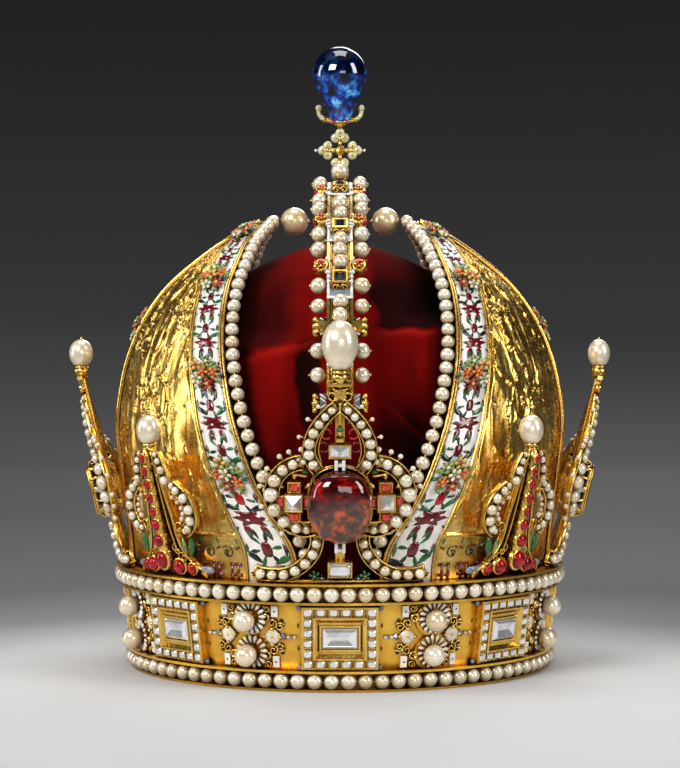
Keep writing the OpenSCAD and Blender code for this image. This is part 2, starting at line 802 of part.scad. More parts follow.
// Pearl string along a shell's edge, over the tip between its two feet
string_rows = 44;
function string_place(v) =
    let (
        side = sign(2 * v - 1),
        u = 1 - pow(abs(2 * v - 1), 1.2) * 0.94,
        free = fit * (4 + 2 * pow(u, 12)),
        e = shell_edge(u),
        lower = max(u - 0.01, 0),
        upper = min(u + 0.01, 1),
        way = unit(
            shell_point(upper, shell_edge(upper)) - shell_point(lower, shell_edge(lower))
        ),
        across = shell_point(u, e) - shell_point(u, shell_turn(u, rail_w)),
        out = unit(across - (across * way) * way),
        p = shell_point(u, e) + out * (edge_pearl_d / 2 + free)
    )
    [p[0], side * max(p[1], 0), p[2]];
module mitre_pearls() {
    places = [for (i = [0:string_rows]) string_place(i / string_rows)];
    color("ivory")
        rings_solid([
            for (i = [0:string_rows])
                let (
                    way = unit(places[min(i + 1, string_rows)] - places[max(i - 1, 0)]),
                    aside = unit(cross(way, [1, 0, 0.3])),
                    up = cross(aside, way)
                )
                [
                    for (j = [0:7])
                        places[i] + edge_pearl_d / 2 * (cos(-j * 45) * aside + sin(-j * 45) * up)
                ]
        ]);
}
module mitre_tip_pearl() {
    place = string_place(0.5);
    color("ivory")
        translate([place[0] - edge_pearl_d / 2, 0, place[2]] - [tip_pearl_d / 2 + fit, 0, 0])
            sphere(d = tip_pearl_d);
}

// Hoop: a flat band with a moulding along each edge, bent round the crown
module arch_ring() {
    half = arch_w / 2;
    translate([0, 0, arch_z])
        rotate([0, 90, 0])
            rotate([0, 0, 180 - arch_end])
                rotate_extrude(angle = 2 * arch_end)
                    polygon([
                        [arch_r - arch_t / 2, -half],
                        [arch_top_r + arch_rail_h, -half],
                        [arch_top_r + arch_rail_h, -half + 1.1],
                        [arch_top_r, -half + 1.1],
                        [arch_top_r, half - 1.1],
                        [arch_top_r + arch_rail_h, half - 1.1],
                        [arch_top_r + arch_rail_h, half],
                        [arch_r - arch_t / 2, half]
                    ]);
}
module arch_band() {
    color("gold") {
        arch_ring();
        each_on_hoop(HOOP_STONES) arch_setting();
        each_beside_hoop(SIDE_STONES, 2.6) side_setting();
        each_on_hoop([top_pearl_angle])
            translate([0, 0, -sink]) cylinder(d = 0.7 * top_pearl_d, h = top_seat + sink);
        for (end = [-1, 1])
            intersection() {
                on_arch(end * arch_end, arch_r) cube([0.8 * arch_w, 12, 12], center = true);
                translate([0, 0, lily_z])
                    cylinder(
                        h = large_lily_h,
                        r1 = plate_r(0) - lily_t - fit,
                        r2 = plate_r(large_lily_h) - lily_t - fit
                    );
            }
    }
}
module arch_setting() {
    difference() {
        translate([-4, -4, -sink]) cube([8, 8, 2.2 + sink]);
        translate([-2.9, -2.9, 1.2]) cube([5.8, 5.8, 2]);
    }
    translate([-2.5, -2.5, 1]) cube([5, 5, 1.8]);
}
module side_setting() {
    translate([0, 0, -2]) cylinder(d = 6.4, h = 3.4);
    translate([0, 0, -2]) cylinder(d = 4.2, h = 4.4);
}
// Children at each angle of a list, on both halves of the hoop
module each_on_hoop(angles) {
    for (half = [-1, 1], angle = angles)
        on_arch(half * angle, arch_top_r) children();
}
// Children at each angle of a list, at a distance beside the hoop's edges
module each_beside_hoop(angles, aside) {
    for (hand = [-1, 1])
        each_on_hoop(angles)
            translate([hand * (arch_w / 2 + aside), 0, 0]) children();
}
module arch_pearls() {
    beside = fit + side_pearl_d / 2;
    color("ivory") {
        each_on_hoop(HOOP_PEARLS) translate([0, 0, fit + arch_pearl_d / 2]) sphere(d = arch_pearl_d);
        each_on_hoop([long_pearl_angle])
            translate([0, 0, fit + long_pearl_w / 2])
                scale([1, long_pearl_l / long_pearl_w, 1]) sphere(d = long_pearl_w);
        each_beside_hoop(SIDE_PEARLS, beside) sphere(d = side_pearl_d);
        each_beside_hoop([top_pearl_angle + 1], beside) translate([0, 0, 1]) sphere(d = side_pearl_d);
        each_on_hoop([top_pearl_angle])
            translate([0, 0, top_seat + fit + top_pearl_d / 2]) sphere(d = top_pearl_d);
    }
}

// Cross with the holder of the top stone
module cross_piece() {
    boss_z = cross_z + 0.56 * cross_h;
    color("white") {
        translate([0, 0, arch_z + arch_top_r + fit]) cylinder(d = 4, h = 0.2 * cross_h);
        translate([0, 0, cross_z]) cylinder(d = 2.4, h = cross_h);
        translate([0, 0, boss_z]) {
            sphere(d = 4.6);
            for (turn = [0:90:270])
                rotate([0, turn, 0]) translate([0, 0, cross_arm - 2.8]) trefoil();
            rotate([0, 90, 0]) cylinder(d = 1, h = 2 * cross_arm + 5.2, center = true);
            for (side = [-1, 1])
                translate([side * (cross_arm + 2.6), 0, 0]) sphere(d = 1.4);
        }
        translate([0, 0, neck_z - 1]) cylinder(d1 = 2.6, d2 = 8, h = 2.4);
        holder_arm();
        mirror([1, 0, 0]) holder_arm();
    }
}
module trefoil() {
    translate([-2.4, 0, 0]) sphere(d = 3.4);
    translate([2.4, 0, 0]) sphere(d = 3.4);
    translate([0, 0, 2.8]) sphere(d = 3.4);
    rotate([0, 90, 0]) cylinder(d = 1.8, h = 4.8, center = true);
}
module holder_arm() {
    reach = 0.4 * blue_stone_w;
    translate([0, 0, neck_z + reach]) {
        rotate([90, 0, 0])
            rotate([0, 0, -90])
                rotate_extrude(angle = 75)
                    translate([reach, 0]) circle(d = 1.3, $fn = 24);
        rotate([0, -75, 0]) translate([0, 0, -reach]) sphere(d = 2.9);
        rotate([0, -48, 0]) translate([0, 0, -reach - 1]) sphere(d = 1.6);
    }
}

// Top stone: sections as shares of its height and greatest width
module blue_stone() {
    levels = [
        [0, 0.3], [0.05, 0.38], [0.18, 0.56], [0.37, 0.75], [0.5, 0.89], [0.62, 1],
        [0.72, 0.96], [0.83, 0.84], [0.92, 0.64], [0.98, 0.36], [1, 0.2]
    ];
    color("mediumblue")
        translate([0, 0, neck_z + 1.4 + fit])
            rings_solid([
                for (level = levels)
                    [
                        for (i = [0:19])
                            let (a = i * 18, r = blue_stone_w / 2 * level[1])
                            [r * cos(a), 0.9 * r * sin(a), blue_stone_h * level[0]]
                    ]
            ]);
}

// Cap
function cap_dent(az, v) =
    [
        for (fold = FOLDS)
            let (off = (az - fold[0] - fold[1] * v + 540) % 360 - 180)
            fold[2] * exp(-pow(off / fold[3], 2)) * sin(180 * pow(v, 0.8))
    ] * [for (fold = FOLDS) 1];
function soft_step(s) = let (t = max(0, min(1, s))) t * t * (3 - 2 * t);
function cap_hollow(az, v) =
    [
        for (hollow = HOLLOWS)
            let (
                off = (az - hollow[0] + 540) % 360 - 180,
                s = (v - hollow[2]) / hollow[3]
            )
            hollow[4] * exp(-pow(off / hollow[1], 4)) * soft_step(4 * s) * (1 - soft_step((4 * s - 1) / 3))
    ] * [for (hollow = HOLLOWS) 1];
function cap_point(u, az, inset) =
    let (
        v = smooth(CAP, 0, u),
        r = cap_r * smooth(CAP, 1, u),
        flatten = min(1, (1 - v) * 6),
        depth = (r - cap_dent(az, v) * flatten - cap_hollow(az, v) - inset) / r
    )
    [
        r * max(depth, 0.1) * sin(az),
        -r * max(depth, 0.1) * cos(az),
        cap_foot + cap_h * v - inset * pow(v, 3)
    ];
module velvet_cap() {
    n = cap_sides;
    rows = [for (i = [0:cap_rows]) i / cap_rows];
    outer = [for (u = rows) [for (j = [0:n - 1]) cap_point(u, j * 360 / n, 0)]];
    inner = [for (u = rows) [for (j = [0:n - 1]) cap_point(u, j * 360 / n, cap_wall)]];
    count = (cap_rows + 1) * n;
    function at(i, j, deep) = deep * count + i * n + j % n;
    skins = [
        for (i = [0:cap_rows - 1], j = [0:n - 1])
            each [
                [at(i, j, 0), at(i + 1, j, 0), at(i + 1, j + 1, 0)],
                [at(i, j, 0), at(i + 1, j + 1, 0), at(i, j + 1, 0)],
                [at(i, j, 1), at(i + 1, j + 1, 1), at(i + 1, j, 1)],
                [at(i, j, 1), at(i, j + 1, 1), at(i + 1, j + 1, 1)]
            ]
    ];
    edge = [
        for (j = [0:n - 1])
            each [
                [at(0, j, 0), at(0, j + 1, 0), at(0, j + 1, 1)],
                [at(0, j, 0), at(0, j + 1, 1), at(0, j, 1)]
            ]
    ];
    crown = [
        for (j = [1:n - 2])
            each [
                [at(cap_rows, 0, 0), at(cap_rows, j + 1, 0), at(cap_rows, j, 0)],
                [at(cap_rows, 0, 1), at(cap_rows, j, 1), at(cap_rows, j + 1, 1)]
            ]
    ];
    color("darkred")
        polyhedron(points = concat(flat(outer), flat(inner)), faces = concat(skins, edge, crown));
}

circlet_band();
pearl_row(lower_row_z);  // lower_pearls
pearl_wire(lower_row_z);  // lower_pearl_wire
pearl_row(upper_row_z);  // upper_pearls
pearl_wire(upper_row_z);  // upper_pearl_wire
plaque(0);  // plaque_front
plaque(diagonal_angle);  // plaque_front_right
plaque(90);  // plaque_right
plaque(180 - diagonal_angle);  // plaque_back_right
plaque(180);  // plaque_back
plaque(180 + diagonal_angle);  // plaque_back_left
plaque(270);  // plaque_left
plaque(-diagonal_angle);  // plaque_front_left
plaque_diamond(0);  // plaque_diamond_front
plaque_diamond(diagonal_angle);  // plaque_diamond_front_right
plaque_diamond(90);  // plaque_diamond_right
plaque_diamond(180 - diagonal_angle);  // plaque_diamond_back_right
plaque_diamond(180);  // plaque_diamond_back
plaque_diamond(180 + diagonal_angle);  // plaque_diamond_back_left
plaque_diamond(270);  // plaque_diamond_left
plaque_diamond(-diagonal_angle);  // plaque_diamond_front_left
rosette_pearls();
large_lily(0) oval_mount();  // lily_front
small_lily(diagonal_angle);  // lily_front_right
large_lily(90) square_mount();  // lily_right
small_lily(180 - diagonal_angle);  // lily_back_right
large_lily(180) square_mount();  // lily_back
small_lily(180 + diagonal_angle);  // lily_back_left
large_lily(270) square_mount();  // lily_left
small_lily(-diagonal_angle);  // lily_front_left
lily_pearl(0, large_lily_h, front_pearl_w, front_pearl_h, -pearl_taper);  // lily_pearl_front
lily_pearl(diagonal_angle, small_lily_h, lily_pearl_w, lily_pearl_h);  // lily_pearl_front_right
lily_pearl(90, large_lily_h, lily_pearl_w, lily_pearl_h);  // lily_pearl_right
lily_pearl(180 - diagonal_angle, small_lily_h, lily_pearl_w, lily_pearl_h);  // lily_pearl_back_right
lily_pearl(180, large_lily_h, lily_pearl_w, lily_pearl_h);  // lily_pearl_back
lily_pearl(180 + diagonal_angle, small_lily_h, lily_pearl_w, lily_pearl_h);  // lily_pearl_back_left
lily_pearl(270, large_lily_h, lily_pearl_w, lily_pearl_h);  // lily_pearl_left
lily_pearl(-diagonal_angle, small_lily_h, lily_pearl_w, lily_pearl_h);  // lily_pearl_front_left
front_red_stone();
lily_diamond(90);  // lily_diamond_right
lily_diamond(180);  // lily_diamond_back
lily_diamond(270);  // lily_diamond_left
mitre_shell();  // mitre_right
mirror([1, 0, 0]) mitre_shell();  // mitre_left
edge_enamel(-1);  // enamel_front_right
side_enamel();  // enamel_side_right
edge_enamel(1);  // enamel_back_right
mirror([1, 0, 0]) edge_enamel(-1);  // enamel_front_left
mirror([1, 0, 0]) side_enamel();  // enamel_side_left
mirror([1, 0, 0]) edge_enamel(1);  // enamel_back_left
mitre_pearls();  // mitre_pearls_right
mirror([1, 0, 0]) mitre_pearls();  // mitre_pearls_left
mitre_tip_pearl();  // mitre_tip_pearl_right
mirror([1, 0, 0]) mitre_tip_pearl();  // mitre_tip_pearl_left
arch_band();
arch_pearls();
cross_piece();  // cross
blue_stone();
velvet_cap();
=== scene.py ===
import math

import bmesh
import bpy
import numpy as np
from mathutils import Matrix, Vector


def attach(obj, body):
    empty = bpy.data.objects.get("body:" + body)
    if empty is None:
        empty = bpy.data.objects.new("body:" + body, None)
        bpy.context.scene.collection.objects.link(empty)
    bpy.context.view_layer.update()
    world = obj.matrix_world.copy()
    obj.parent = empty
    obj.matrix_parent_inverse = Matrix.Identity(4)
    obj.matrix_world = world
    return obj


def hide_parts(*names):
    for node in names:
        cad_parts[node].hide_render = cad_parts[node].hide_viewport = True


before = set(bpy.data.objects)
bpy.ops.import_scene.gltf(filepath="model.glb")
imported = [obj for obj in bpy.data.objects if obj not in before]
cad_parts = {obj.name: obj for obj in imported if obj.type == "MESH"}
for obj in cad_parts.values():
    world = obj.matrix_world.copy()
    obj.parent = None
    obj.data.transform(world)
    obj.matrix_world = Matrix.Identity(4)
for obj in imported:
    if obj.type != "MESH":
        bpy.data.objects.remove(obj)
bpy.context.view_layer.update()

# Sizes in millimetres, the same as in the part's source
MM = 0.001
BAND_H = 46.5
BAND_R = 91.75
BAND_FLARE = 5.85
BAND_WALL = 2.0
LIP_H = 1.0
RIM_PEARL_D = 6.7
RIM_PEARL_GAP = 0.45
PLAQUE_W = 32.6
PLAQUE_T = 3.5
DIAGONAL_ANGLE = 47.5
WINDOW_W = 20.6
WINDOW_H = 16.6
DIAMOND_W = 15.5
DIAMOND_H = 9.2
BORDER_STONES = 6
ROSETTE_PEARL_D = 9.6
ROSETTE_PITCH = 14.8
ROSETTE_T = 1.2
LILY_LEAN = 13.9
LILY_T = 1.6
LARGE_LILY_H = 89.0
SMALL_LILY_H = 57.0
FRONT_PEARL_W = 14.4
FRONT_PEARL_H = 22.0
LILY_PEARL_W = 10.8
LILY_PEARL_H = 13.2
RED_STONE_W = 26.0
RED_STONE_H = 31.0
RED_STONE_T = 13.0
SIDE_STONE_W = 18.0
SIDE_STONE_H = 21.0
SIDE_STONE_T = 8.0
MITRE_H = 160.5
MITRE_GAP = 50.0
MITRE_WALL = 1.4
MITRE_FOOT = 4.5
RAIL_W = 2.6
RAIL_H = 1.2
BED_W = 12.8
BED_FOOT_W = 21.0
SIDE_BED_W = 6.4
THIN_RAIL_W = 1.0
ENAMEL_T = 0.6
EDGE_PEARL_D = 6.0
TIP_PEARL_D = 12.8
ARCH_OVERHANG = 22.25
ARCH_RISE = 57.5
ARCH_W = 11.0
ARCH_T = 3.0
ARCH_PEARL_D = 6.6
LONG_PEARL_W = 7.2
LONG_PEARL_L = 8.6
SIDE_PEARL_D = 7.0
TOP_PEARL_D = 8.4
CROSS_ARM = 8.6
CROSS_H = 27.0
BLUE_STONE_H = 34.0
BLUE_STONE_W = 25.5
CAP_FOOT = 20.0
CAP_H = 175.0
FIT = 0.15

BAND_LEAN = math.atan(BAND_FLARE / BAND_H)
ROW_H = RIM_PEARL_D + 2 * FIT + 2 * LIP_H
MIDDLE_Z = BAND_H / 2
PLAQUE_H = BAND_H - 2 * ROW_H - 2 * FIT - PLAQUE_T * math.sin(BAND_LEAN) - 0.4
LILY_Z = BAND_H + FIT
STONE_LIFT = 0.6 + FIT
STONE_W = 0.39 * LARGE_LILY_H
ARCH_Z = BAND_H + ARCH_RISE
ARCH_TOP_R = BAND_R + ARCH_OVERHANG + ARCH_T / 2
CROSS_Z = ARCH_Z + ARCH_TOP_R + 1.5
NECK_Z = CROSS_Z + CROSS_H
MITRE_Z = BAND_H - MITRE_FOOT

# Azimuths of the lilies and plaques, 0 at the front and 90 on the right
PLACES = {
    "front": 0.0,
    "front_right": DIAGONAL_ANGLE,
    "right": 90.0,
    "back_right": 180 - DIAGONAL_ANGLE,
    "back": 180.0,
    "back_left": 180 + DIAGONAL_ANGLE,
    "left": 270.0,
    "front_left": -DIAGONAL_ANGLE,
}

# Shell sections from foot to tip: height as a share of the shell's height,
# half width and half depth as shares of the foot's radius,
# half gap between the shells as a share of the widest half gap
SHELL = np.array([
    [0.000, 1.000, 1.000, 0.32],
    [0.112, 1.018, 1.014, 0.38],
    [0.206, 1.040, 1.030, 0.56],
    [0.299, 1.060, 1.030, 0.72],
    [0.417, 1.080, 1.010, 0.86],
    [0.517, 1.065, 0.972, 0.94],
    [0.617, 1.026, 0.903, 0.99],
    [0.717, 0.954, 0.812, 1.00],
    [0.810, 0.842, 0.690, 0.965],
    [0.885, 0.698, 0.552, 0.89],
    [0.941, 0.566, 0.414, 0.82],
    [0.978, 0.450, 0.266, 0.74],
    [1.000, 0.380, 0.110, 0.68],
])

# Cap sections from edge to top: height as a share of the cap's height,
# radius as a share of the radius of its lower edge
CAP = np.array([
    [0.000, 1.000],
    [0.114, 0.992],
    [0.229, 0.995],
    [0.400, 0.985],
    [0.571, 0.942],
    [0.714, 0.848],
    [0.800, 0.750],
    [0.869, 0.612],
    [0.926, 0.420],
    [0.971, 0.222],
    [1.000, 0.020],
])
# Folds of the cap: azimuth of the fold's foot, how far it turns on its way up,
# depth, half width in degrees
FOLDS = [
    (-18, 10, 8.0, 5),
    (14, -8, 8.0, 5),
    (34, -26, 4.0, 6),
    (-44, 14, 3.5, 9),
    (78, 6, 3.0, 12),
    (-84, -8, 3.0, 12),
    (128, 16, 4.0, 10),
    (166, -8, 5.0, 9),
    (-160, 12, 5.0, 9),
    (-124, -10, 3.5, 10),
]

# Hollows of the cap: azimuth, half width in degrees, then as shares of the cap's height
# the level of the lower edge and how far up it goes, and depth
HOLLOWS = [
    (-32, 20, 0.715, 0.20, 7),
    (36, 22, 0.765, 0.17, 8),
]

# Places on each half of the hoop, as angles from its top
HOOP_STONES = [15, 36.5, 52.6, 68]
HOOP_PEARLS = [32.8, 42, 45.3, 48.7, 58.8, 62.1]
LONG_PEARL_ANGLE = 28.2
SIDE_PEARLS = [22.5, 27.7, 38.3, 43.5, 53.8, 59, 69.3, 74.5]
SIDE_STONES = [16.7, 33.2, 48.6]
LEAF_MOUNTS = [64, 80.5]
RED_PETALS = [46.9, 64.3]
TOP_PEARL_ANGLE = 3.1
TOP_SEAT = 2.4

chance = np.random.default_rng(7)


# Small shapes: each is a pair of points and lists of faces, in millimetres
def unit(v):
    return v / np.maximum(np.linalg.norm(v, axis=-1, keepdims=True), 1e-9)


def grid(rows, cols, loop=False, loop_rows=False):
    """Quads of a grid of points that is kept row by row."""
    i = np.arange(rows if loop_rows else rows - 1)[:, None]
    j = np.arange(cols if loop else cols - 1)[None, :]
    low, high = i * cols, (i + 1) % rows * cols
    k = (j + 1) % cols
    return np.stack([low + j, low + k, high + k, high + j], -1).reshape(-1, 4)


def circle(r, sides):
    a = np.arange(sides) * 2 * np.pi / sides
    return np.stack([r * np.cos(a), r * np.sin(a)], -1)


def lathe(outline, sides):
    """Turned solid: outline of (radius, height) from the bottom to the top, both on the axis."""
    outline = np.asarray(outline, float)
    rings = outline[1:-1]
    a = np.arange(sides) * 2 * np.pi / sides
    round_points = np.stack([
        np.outer(rings[:, 0], np.cos(a)),
        np.outer(rings[:, 0], np.sin(a)),
        np.repeat(rings[:, 1:], sides, 1),
    ], -1).reshape(-1, 3)
    points = np.vstack([round_points, [[0, 0, outline[0, 1]], [0, 0, outline[-1, 1]]]])
    j = np.arange(sides)
    k = (j + 1) % sides
    count = len(round_points)
    last = count - sides
    foot = np.stack([k, j, np.full(sides, count)], -1)
    top = np.stack([last + j, last + k, np.full(sides, count + 1)], -1)
    return points, [grid(len(rings), sides, True), foot, top]


def ball(d, rings, sides, squash=1.0):
    a = np.linspace(-np.pi / 2, np.pi / 2, rings + 1)
    outline = np.stack([np.cos(a) * d / 2, np.sin(a) * squash * d / 2], -1)
    outline[0, 0] = outline[-1, 0] = 0
    return lathe(outline, sides)


def sweep(path, section, up=(0, 0, 1), loop=False, widths=1.0):
    """Moves a section of (aside, up) points along a path."""
    path = np.asarray(path, float)
    section = np.asarray(section, float)
    if loop:
        way = unit(np.roll(path, -1, 0) - np.roll(path, 1, 0))
    else:
        way = unit(np.gradient(path, axis=0))
    aside = unit(np.cross(way, np.broadcast_to(up, path.shape)))
    rise = np.cross(aside, way)
    widths = np.broadcast_to(widths, len(path))[:, None, None]
    points = path[:, None] + widths * (
        section[None, :, :1] * aside[:, None] + section[None, :, 1:] * rise[:, None]
    )
    count = len(section)
    faces = [grid(len(path), count, True, loop)[:, ::-1]]
    if not loop:
        last = (len(path) - 1) * count
        faces += [np.arange(count)[None, :], last + np.arange(count)[None, ::-1]]
    return points.reshape(-1, 3), faces


def wire(path, d, sides, up=(0, 0, 1), loop=False):
    return sweep(path, circle(d / 2, sides), up, loop)


def bar(path, w, h, low=0.0, widths=1.0):
    """Flat strip with rounded upper corners, w wide and h high above low."""
    c = 0.25 * min(w, h)
    section = [(-w / 2, low), (w / 2, low), (w / 2, h - c), (w / 2 - c, h), (c - w / 2, h), (-w / 2, h - c)]
    return sweep(path, section, widths=widths)


def pad(outline, height, rows=3, skirt=0.3):
    """Pillow over an outline, with a skirt that goes below z = 0."""
    outline = np.asarray(outline, float)
    middle = outline.mean(0)
    a = np.linspace(0, np.pi / 2, rows + 1)[:-1]
    shares = np.concatenate([[1], np.cos(a)])
    heights = np.concatenate([[-skirt], height * np.sin(a)])
    rings = middle + (outline - middle)[None] * shares[:, None, None]
    level = np.repeat(heights[:, None], len(outline), 1)[..., None]
    count = len(outline)
    points = np.vstack([np.concatenate([rings, level], -1).reshape(-1, 3), [[*middle, height]]])
    last = rows * count
    j = np.arange(count)
    top = np.stack([last + j, last + (j + 1) % count, np.full(count, last + count)], -1)
    return points, [grid(rows + 1, count, True), top, np.arange(count)[None, ::-1]]


def corners(x, y, z):
    """Corners of a rectangle at height z, from its half sides."""
    return [(-x, -y, z), (x, -y, z), (x, y, z), (-x, y, z)]


def eight_corners(x, y, cut, z=0.0):
    """The same with its corners cut off."""
    return [
        (x, cut - y, z), (x, y - cut, z), (x - cut, y, z), (cut - x, y, z),
        (-x, y - cut, z), (-x, cut - y, z), (cut - x, -y, z), (x - cut, -y, z),
    ]


def skin(rows, count):
    """Faces through rings of points, closed at both ends."""
    j = np.arange(count)[None, :]
    return [grid(rows, count, True), j[:, ::-1], (rows - 1) * count + j]


def block(w, h, low, high, bevel=0.0):
    """Box about its middle, with its upper edges taken off."""
    x, y, b = w / 2, h / 2, bevel
    points = corners(x, y, low) + corners(x, y, high - b) + corners(x - b, y - b, high)
    return np.array(points, float), skin(3, 4)


def frame_bar(w, h, inner_w, inner_h, low, high, bevel=0.2):
    """Rectangular frame with bevelled upper edges."""
    b = 2 * bevel
    levels = (
        (w, h, low), (w, h, high - bevel), (w - b, h - b, high), (inner_w + b, inner_h + b, high),
        (inner_w, inner_h, high - bevel), (inner_w, inner_h, low),
    )
    points = [p for x, y, z in levels for p in corners(x / 2, y / 2, z)]
    return np.array(points, float), [grid(6, 4, True, True)]


def drop(length, width, sides=10):
    """Outline of a drop from its point at (0, 0) to its round end."""
    a = np.arange(sides) * 2 * np.pi / sides
    y = (1 - np.cos(a)) / 2
    return np.stack([width / 2 * np.sin(a) * (0.35 + 0.65 * y), length * y], -1)


def lens(length, width, sides=8):
    """Outline of a leaf, pointed at both ends."""
    t = np.linspace(0, 1, sides // 2 + 1)
    right = np.stack([width / 2 * np.sin(np.pi * t), length * t], -1)
    left = right[-2:0:-1] * [-1, 1]
    return np.vstack([right, left])


def curl(r, turns, start, shrink=0.75):
    """Spiral in the plane from its outer end, about (0, 0)."""
    steps = max(6, int(abs(turns) * 14))
    t = np.linspace(0, 1, steps)
    a = math.radians(start) + 2 * np.pi * turns * t
    reach = r * (1 - shrink * t)
    return np.stack([reach * np.cos(a), reach * np.sin(a), 0 * a], -1)


def spline(p0, p1, p2, p3, f):
    """Place at share f between the middle two of four points of a smooth curve."""
    return p1 + 0.5 * f * (p2 - p0 + f * (2 * p0 - 5 * p1 + 4 * p2 - p3 + f * (3 * (p1 - p2) + p3 - p0)))


def curve(points, steps):
    """Smooth curve through a few points."""
    points = np.asarray(points, float)
    ends = np.vstack([2 * points[0] - points[1], points, 2 * points[-1] - points[-2]])
    t = np.linspace(0, len(points) - 1, steps)
    i = np.minimum(t.astype(int), len(points) - 2)
    f = (t - i)[:, None]
    return spline(ends[i], ends[i + 1], ends[i + 2], ends[i + 3], f)


def flat(path, z=0.0):
    """A path in the plane, lifted to a height."""
    path = np.asarray(path, float)
    return np.column_stack([path[:, :2], np.full(len(path), z)])


def gem(w, h, crown, pavilion):
    """Step-cut stone with eight sides and its girdle at z = 0."""
    small = min(w, h)
    inset = 1 - 0.34 * small / np.array([w, h])
    points = []
    for (share_w, share_h), z in (
        ((0.45, 0.3), -pavilion), ((0.93, 0.9), -0.12 * small), ((1, 1), 0),
        ((1 + inset) / 2, 0.62 * crown), (inset, crown),
    ):
        points += eight_corners(w / 2 * share_w, h / 2 * share_h, 0.16 * small * min(share_w, share_h), z)
    return np.array(points, float), skin(5, 8)


def point_cut(w, h, crown):
    """Pyramid stone with a tiny flat top."""
    x, y = w / 2, h / 2
    points = corners(x, y, -0.4 * crown) + corners(x, y, 0) + corners(0.06 * x, 0.06 * y, crown)
    return np.array(points, float), skin(3, 4)


def tier(outlines):
    """Skin through outlines of (points, height), one above the other, closed at the ends."""
    count = len(outlines[0][0])
    points = np.vstack([np.column_stack([p, np.full(count, z)]) for p, z in outlines])
    return points, skin(len(outlines), count)


def put(shape, x=0.0, y=0.0, z=0.0, turn=0.0, tip=0.0, roll=0.0, size=1.0):
    """Tips a shape about X, rolls it about Y, turns it about Z and shifts it, in degrees."""
    points, faces = shape
    p = points * size
    for angle, a, b in ((tip, 1, 2), (roll, 2, 0), (turn, 0, 1)):
        if angle:
            c, s = math.cos(math.radians(angle)), math.sin(math.radians(angle))
            p = p.copy()
            p[:, a], p[:, b] = c * p[:, a] - s * p[:, b], s * p[:, a] + c * p[:, b]
    return p + [x, y, z], faces


def handed(shape, hand):
    """The shape, or its mirror image across X = 0 where hand is -1."""
    points, faces = shape
    return shape if hand > 0 else (points * [-1, 1, 1], [f[:, ::-1] for f in faces])


def polar(degrees, rx, ry):
    """Place on an ellipse, from its angle and half sizes."""
    a = math.radians(degrees)
    return rx * math.cos(a), ry * math.sin(a)


def pearl(d, rings=9, sides=14, uneven=0.035):
    """A slightly uneven ball, turned at random."""
    points, faces = ball(d, rings, sides)
    points = points * (1 + uneven * chance.uniform(-1, 1, 3))
    lump = unit(chance.normal(size=3))
    points = points * (1 + uneven * np.clip(unit(points) @ lump, 0, 1) ** 2)[:, None]
    tip, roll, turn = chance.uniform(0, 360, 3)
    return put((points, faces), tip=tip, roll=roll, turn=turn)


# Where shapes go: each returns a function from local points to points of the crown
def spin(points, az):
    c, s = math.cos(math.radians(az)), math.sin(math.radians(az))
    x, y, z = points.T
    return np.stack([c * x - s * y, s * x + c * y, z], -1)


def wall_r(z):
    return BAND_R + BAND_FLARE * z / BAND_H


def row_r(z):
    return wall_r(z) + FIT + RIM_PEARL_D / 2


def on_wall(az, z=MIDDLE_Z, bent=False):
    """On the circlet: local y goes up the wall and local z out of it; bent shapes follow its curve."""
    def where(points):
        x, y, out = points.T
        far = wall_r(z) + out * math.cos(BAND_LEAN) + y * math.sin(BAND_LEAN)
        up = z + y * math.cos(BAND_LEAN) - out * math.sin(BAND_LEAN)
        if bent:
            a = x / wall_r(z) + math.radians(az)
            return np.stack([far * np.sin(a), -far * np.cos(a), up], -1)
        return spin(np.stack([x, -far, up], -1), az)
    return where


def plate_r(w):
    return wall_r(BAND_H) + 1 + w * math.tan(math.radians(LILY_LEAN))


def on_lily(az):
    """On a lily's plate: x beside its middle, y up it and z out of it."""
    lean = math.radians(LILY_LEAN)
    def where(points):
        x, y, out = points.T
        r = plate_r(y)
        a = np.arcsin(np.clip(x / r, -1, 1)) + math.radians(az)
        far = r + out * math.cos(lean)
        return np.stack([far * np.sin(a), -far * np.cos(a), LILY_Z + y - out * math.sin(lean)], -1)
    return where


def on_arch(half=1):
    """On the hoop: y is the distance from its top along it, z out of it; half is 1 at the front."""
    def where(points):
        x, y, out = points.T
        a = half * y / ARCH_TOP_R
        r = ARCH_TOP_R + out
        return np.stack([half * x, -r * np.sin(a), ARCH_Z + r * np.cos(a)], -1)
    return where


def arch_way(angle):
    return math.radians(angle) * ARCH_TOP_R


# Places on the mitre shells
def smooth(table, column, u):
    """Smooth value in a table's column, u from 0 at its first row to 1 at its last."""
    last = len(table) - 1
    t = np.asarray(u, float) * last
    i = np.clip(t.astype(int), 0, last - 1)
    f = t - i
    c = table[:, column]
    return spline(c[np.maximum(i - 1, 0)], c[i], c[i + 1], c[np.minimum(i + 2, last)], f)


RIM_R = wall_r(MITRE_Z) - BAND_WALL - RAIL_H - 2 * FIT
EDGE_BAND_W = RAIL_W + BED_W + THIN_RAIL_W
FULL_BAND_W = EDGE_BAND_W + SIDE_BED_W + THIN_RAIL_W + 2
BAND_END = 0.955


def shell_size(u):
    """Half width and half depth of the shell, and the angle of its edge."""
    a = RIM_R * smooth(SHELL, 1, u)
    b = RIM_R * smooth(SHELL, 2, u)
    return a, b, np.arccos(MITRE_GAP * smooth(SHELL, 3, u) / a)


def shell_point(u, t):
    a, b, _ = shell_size(u)
    z = MITRE_Z + MITRE_H * smooth(SHELL, 0, u)
    return np.stack(np.broadcast_arrays(a * np.cos(t), b * np.sin(t), z), -1)


def shell_speed(u, t):
    a, b, _ = shell_size(u)
    return np.hypot(a * np.sin(t), b * np.cos(t))


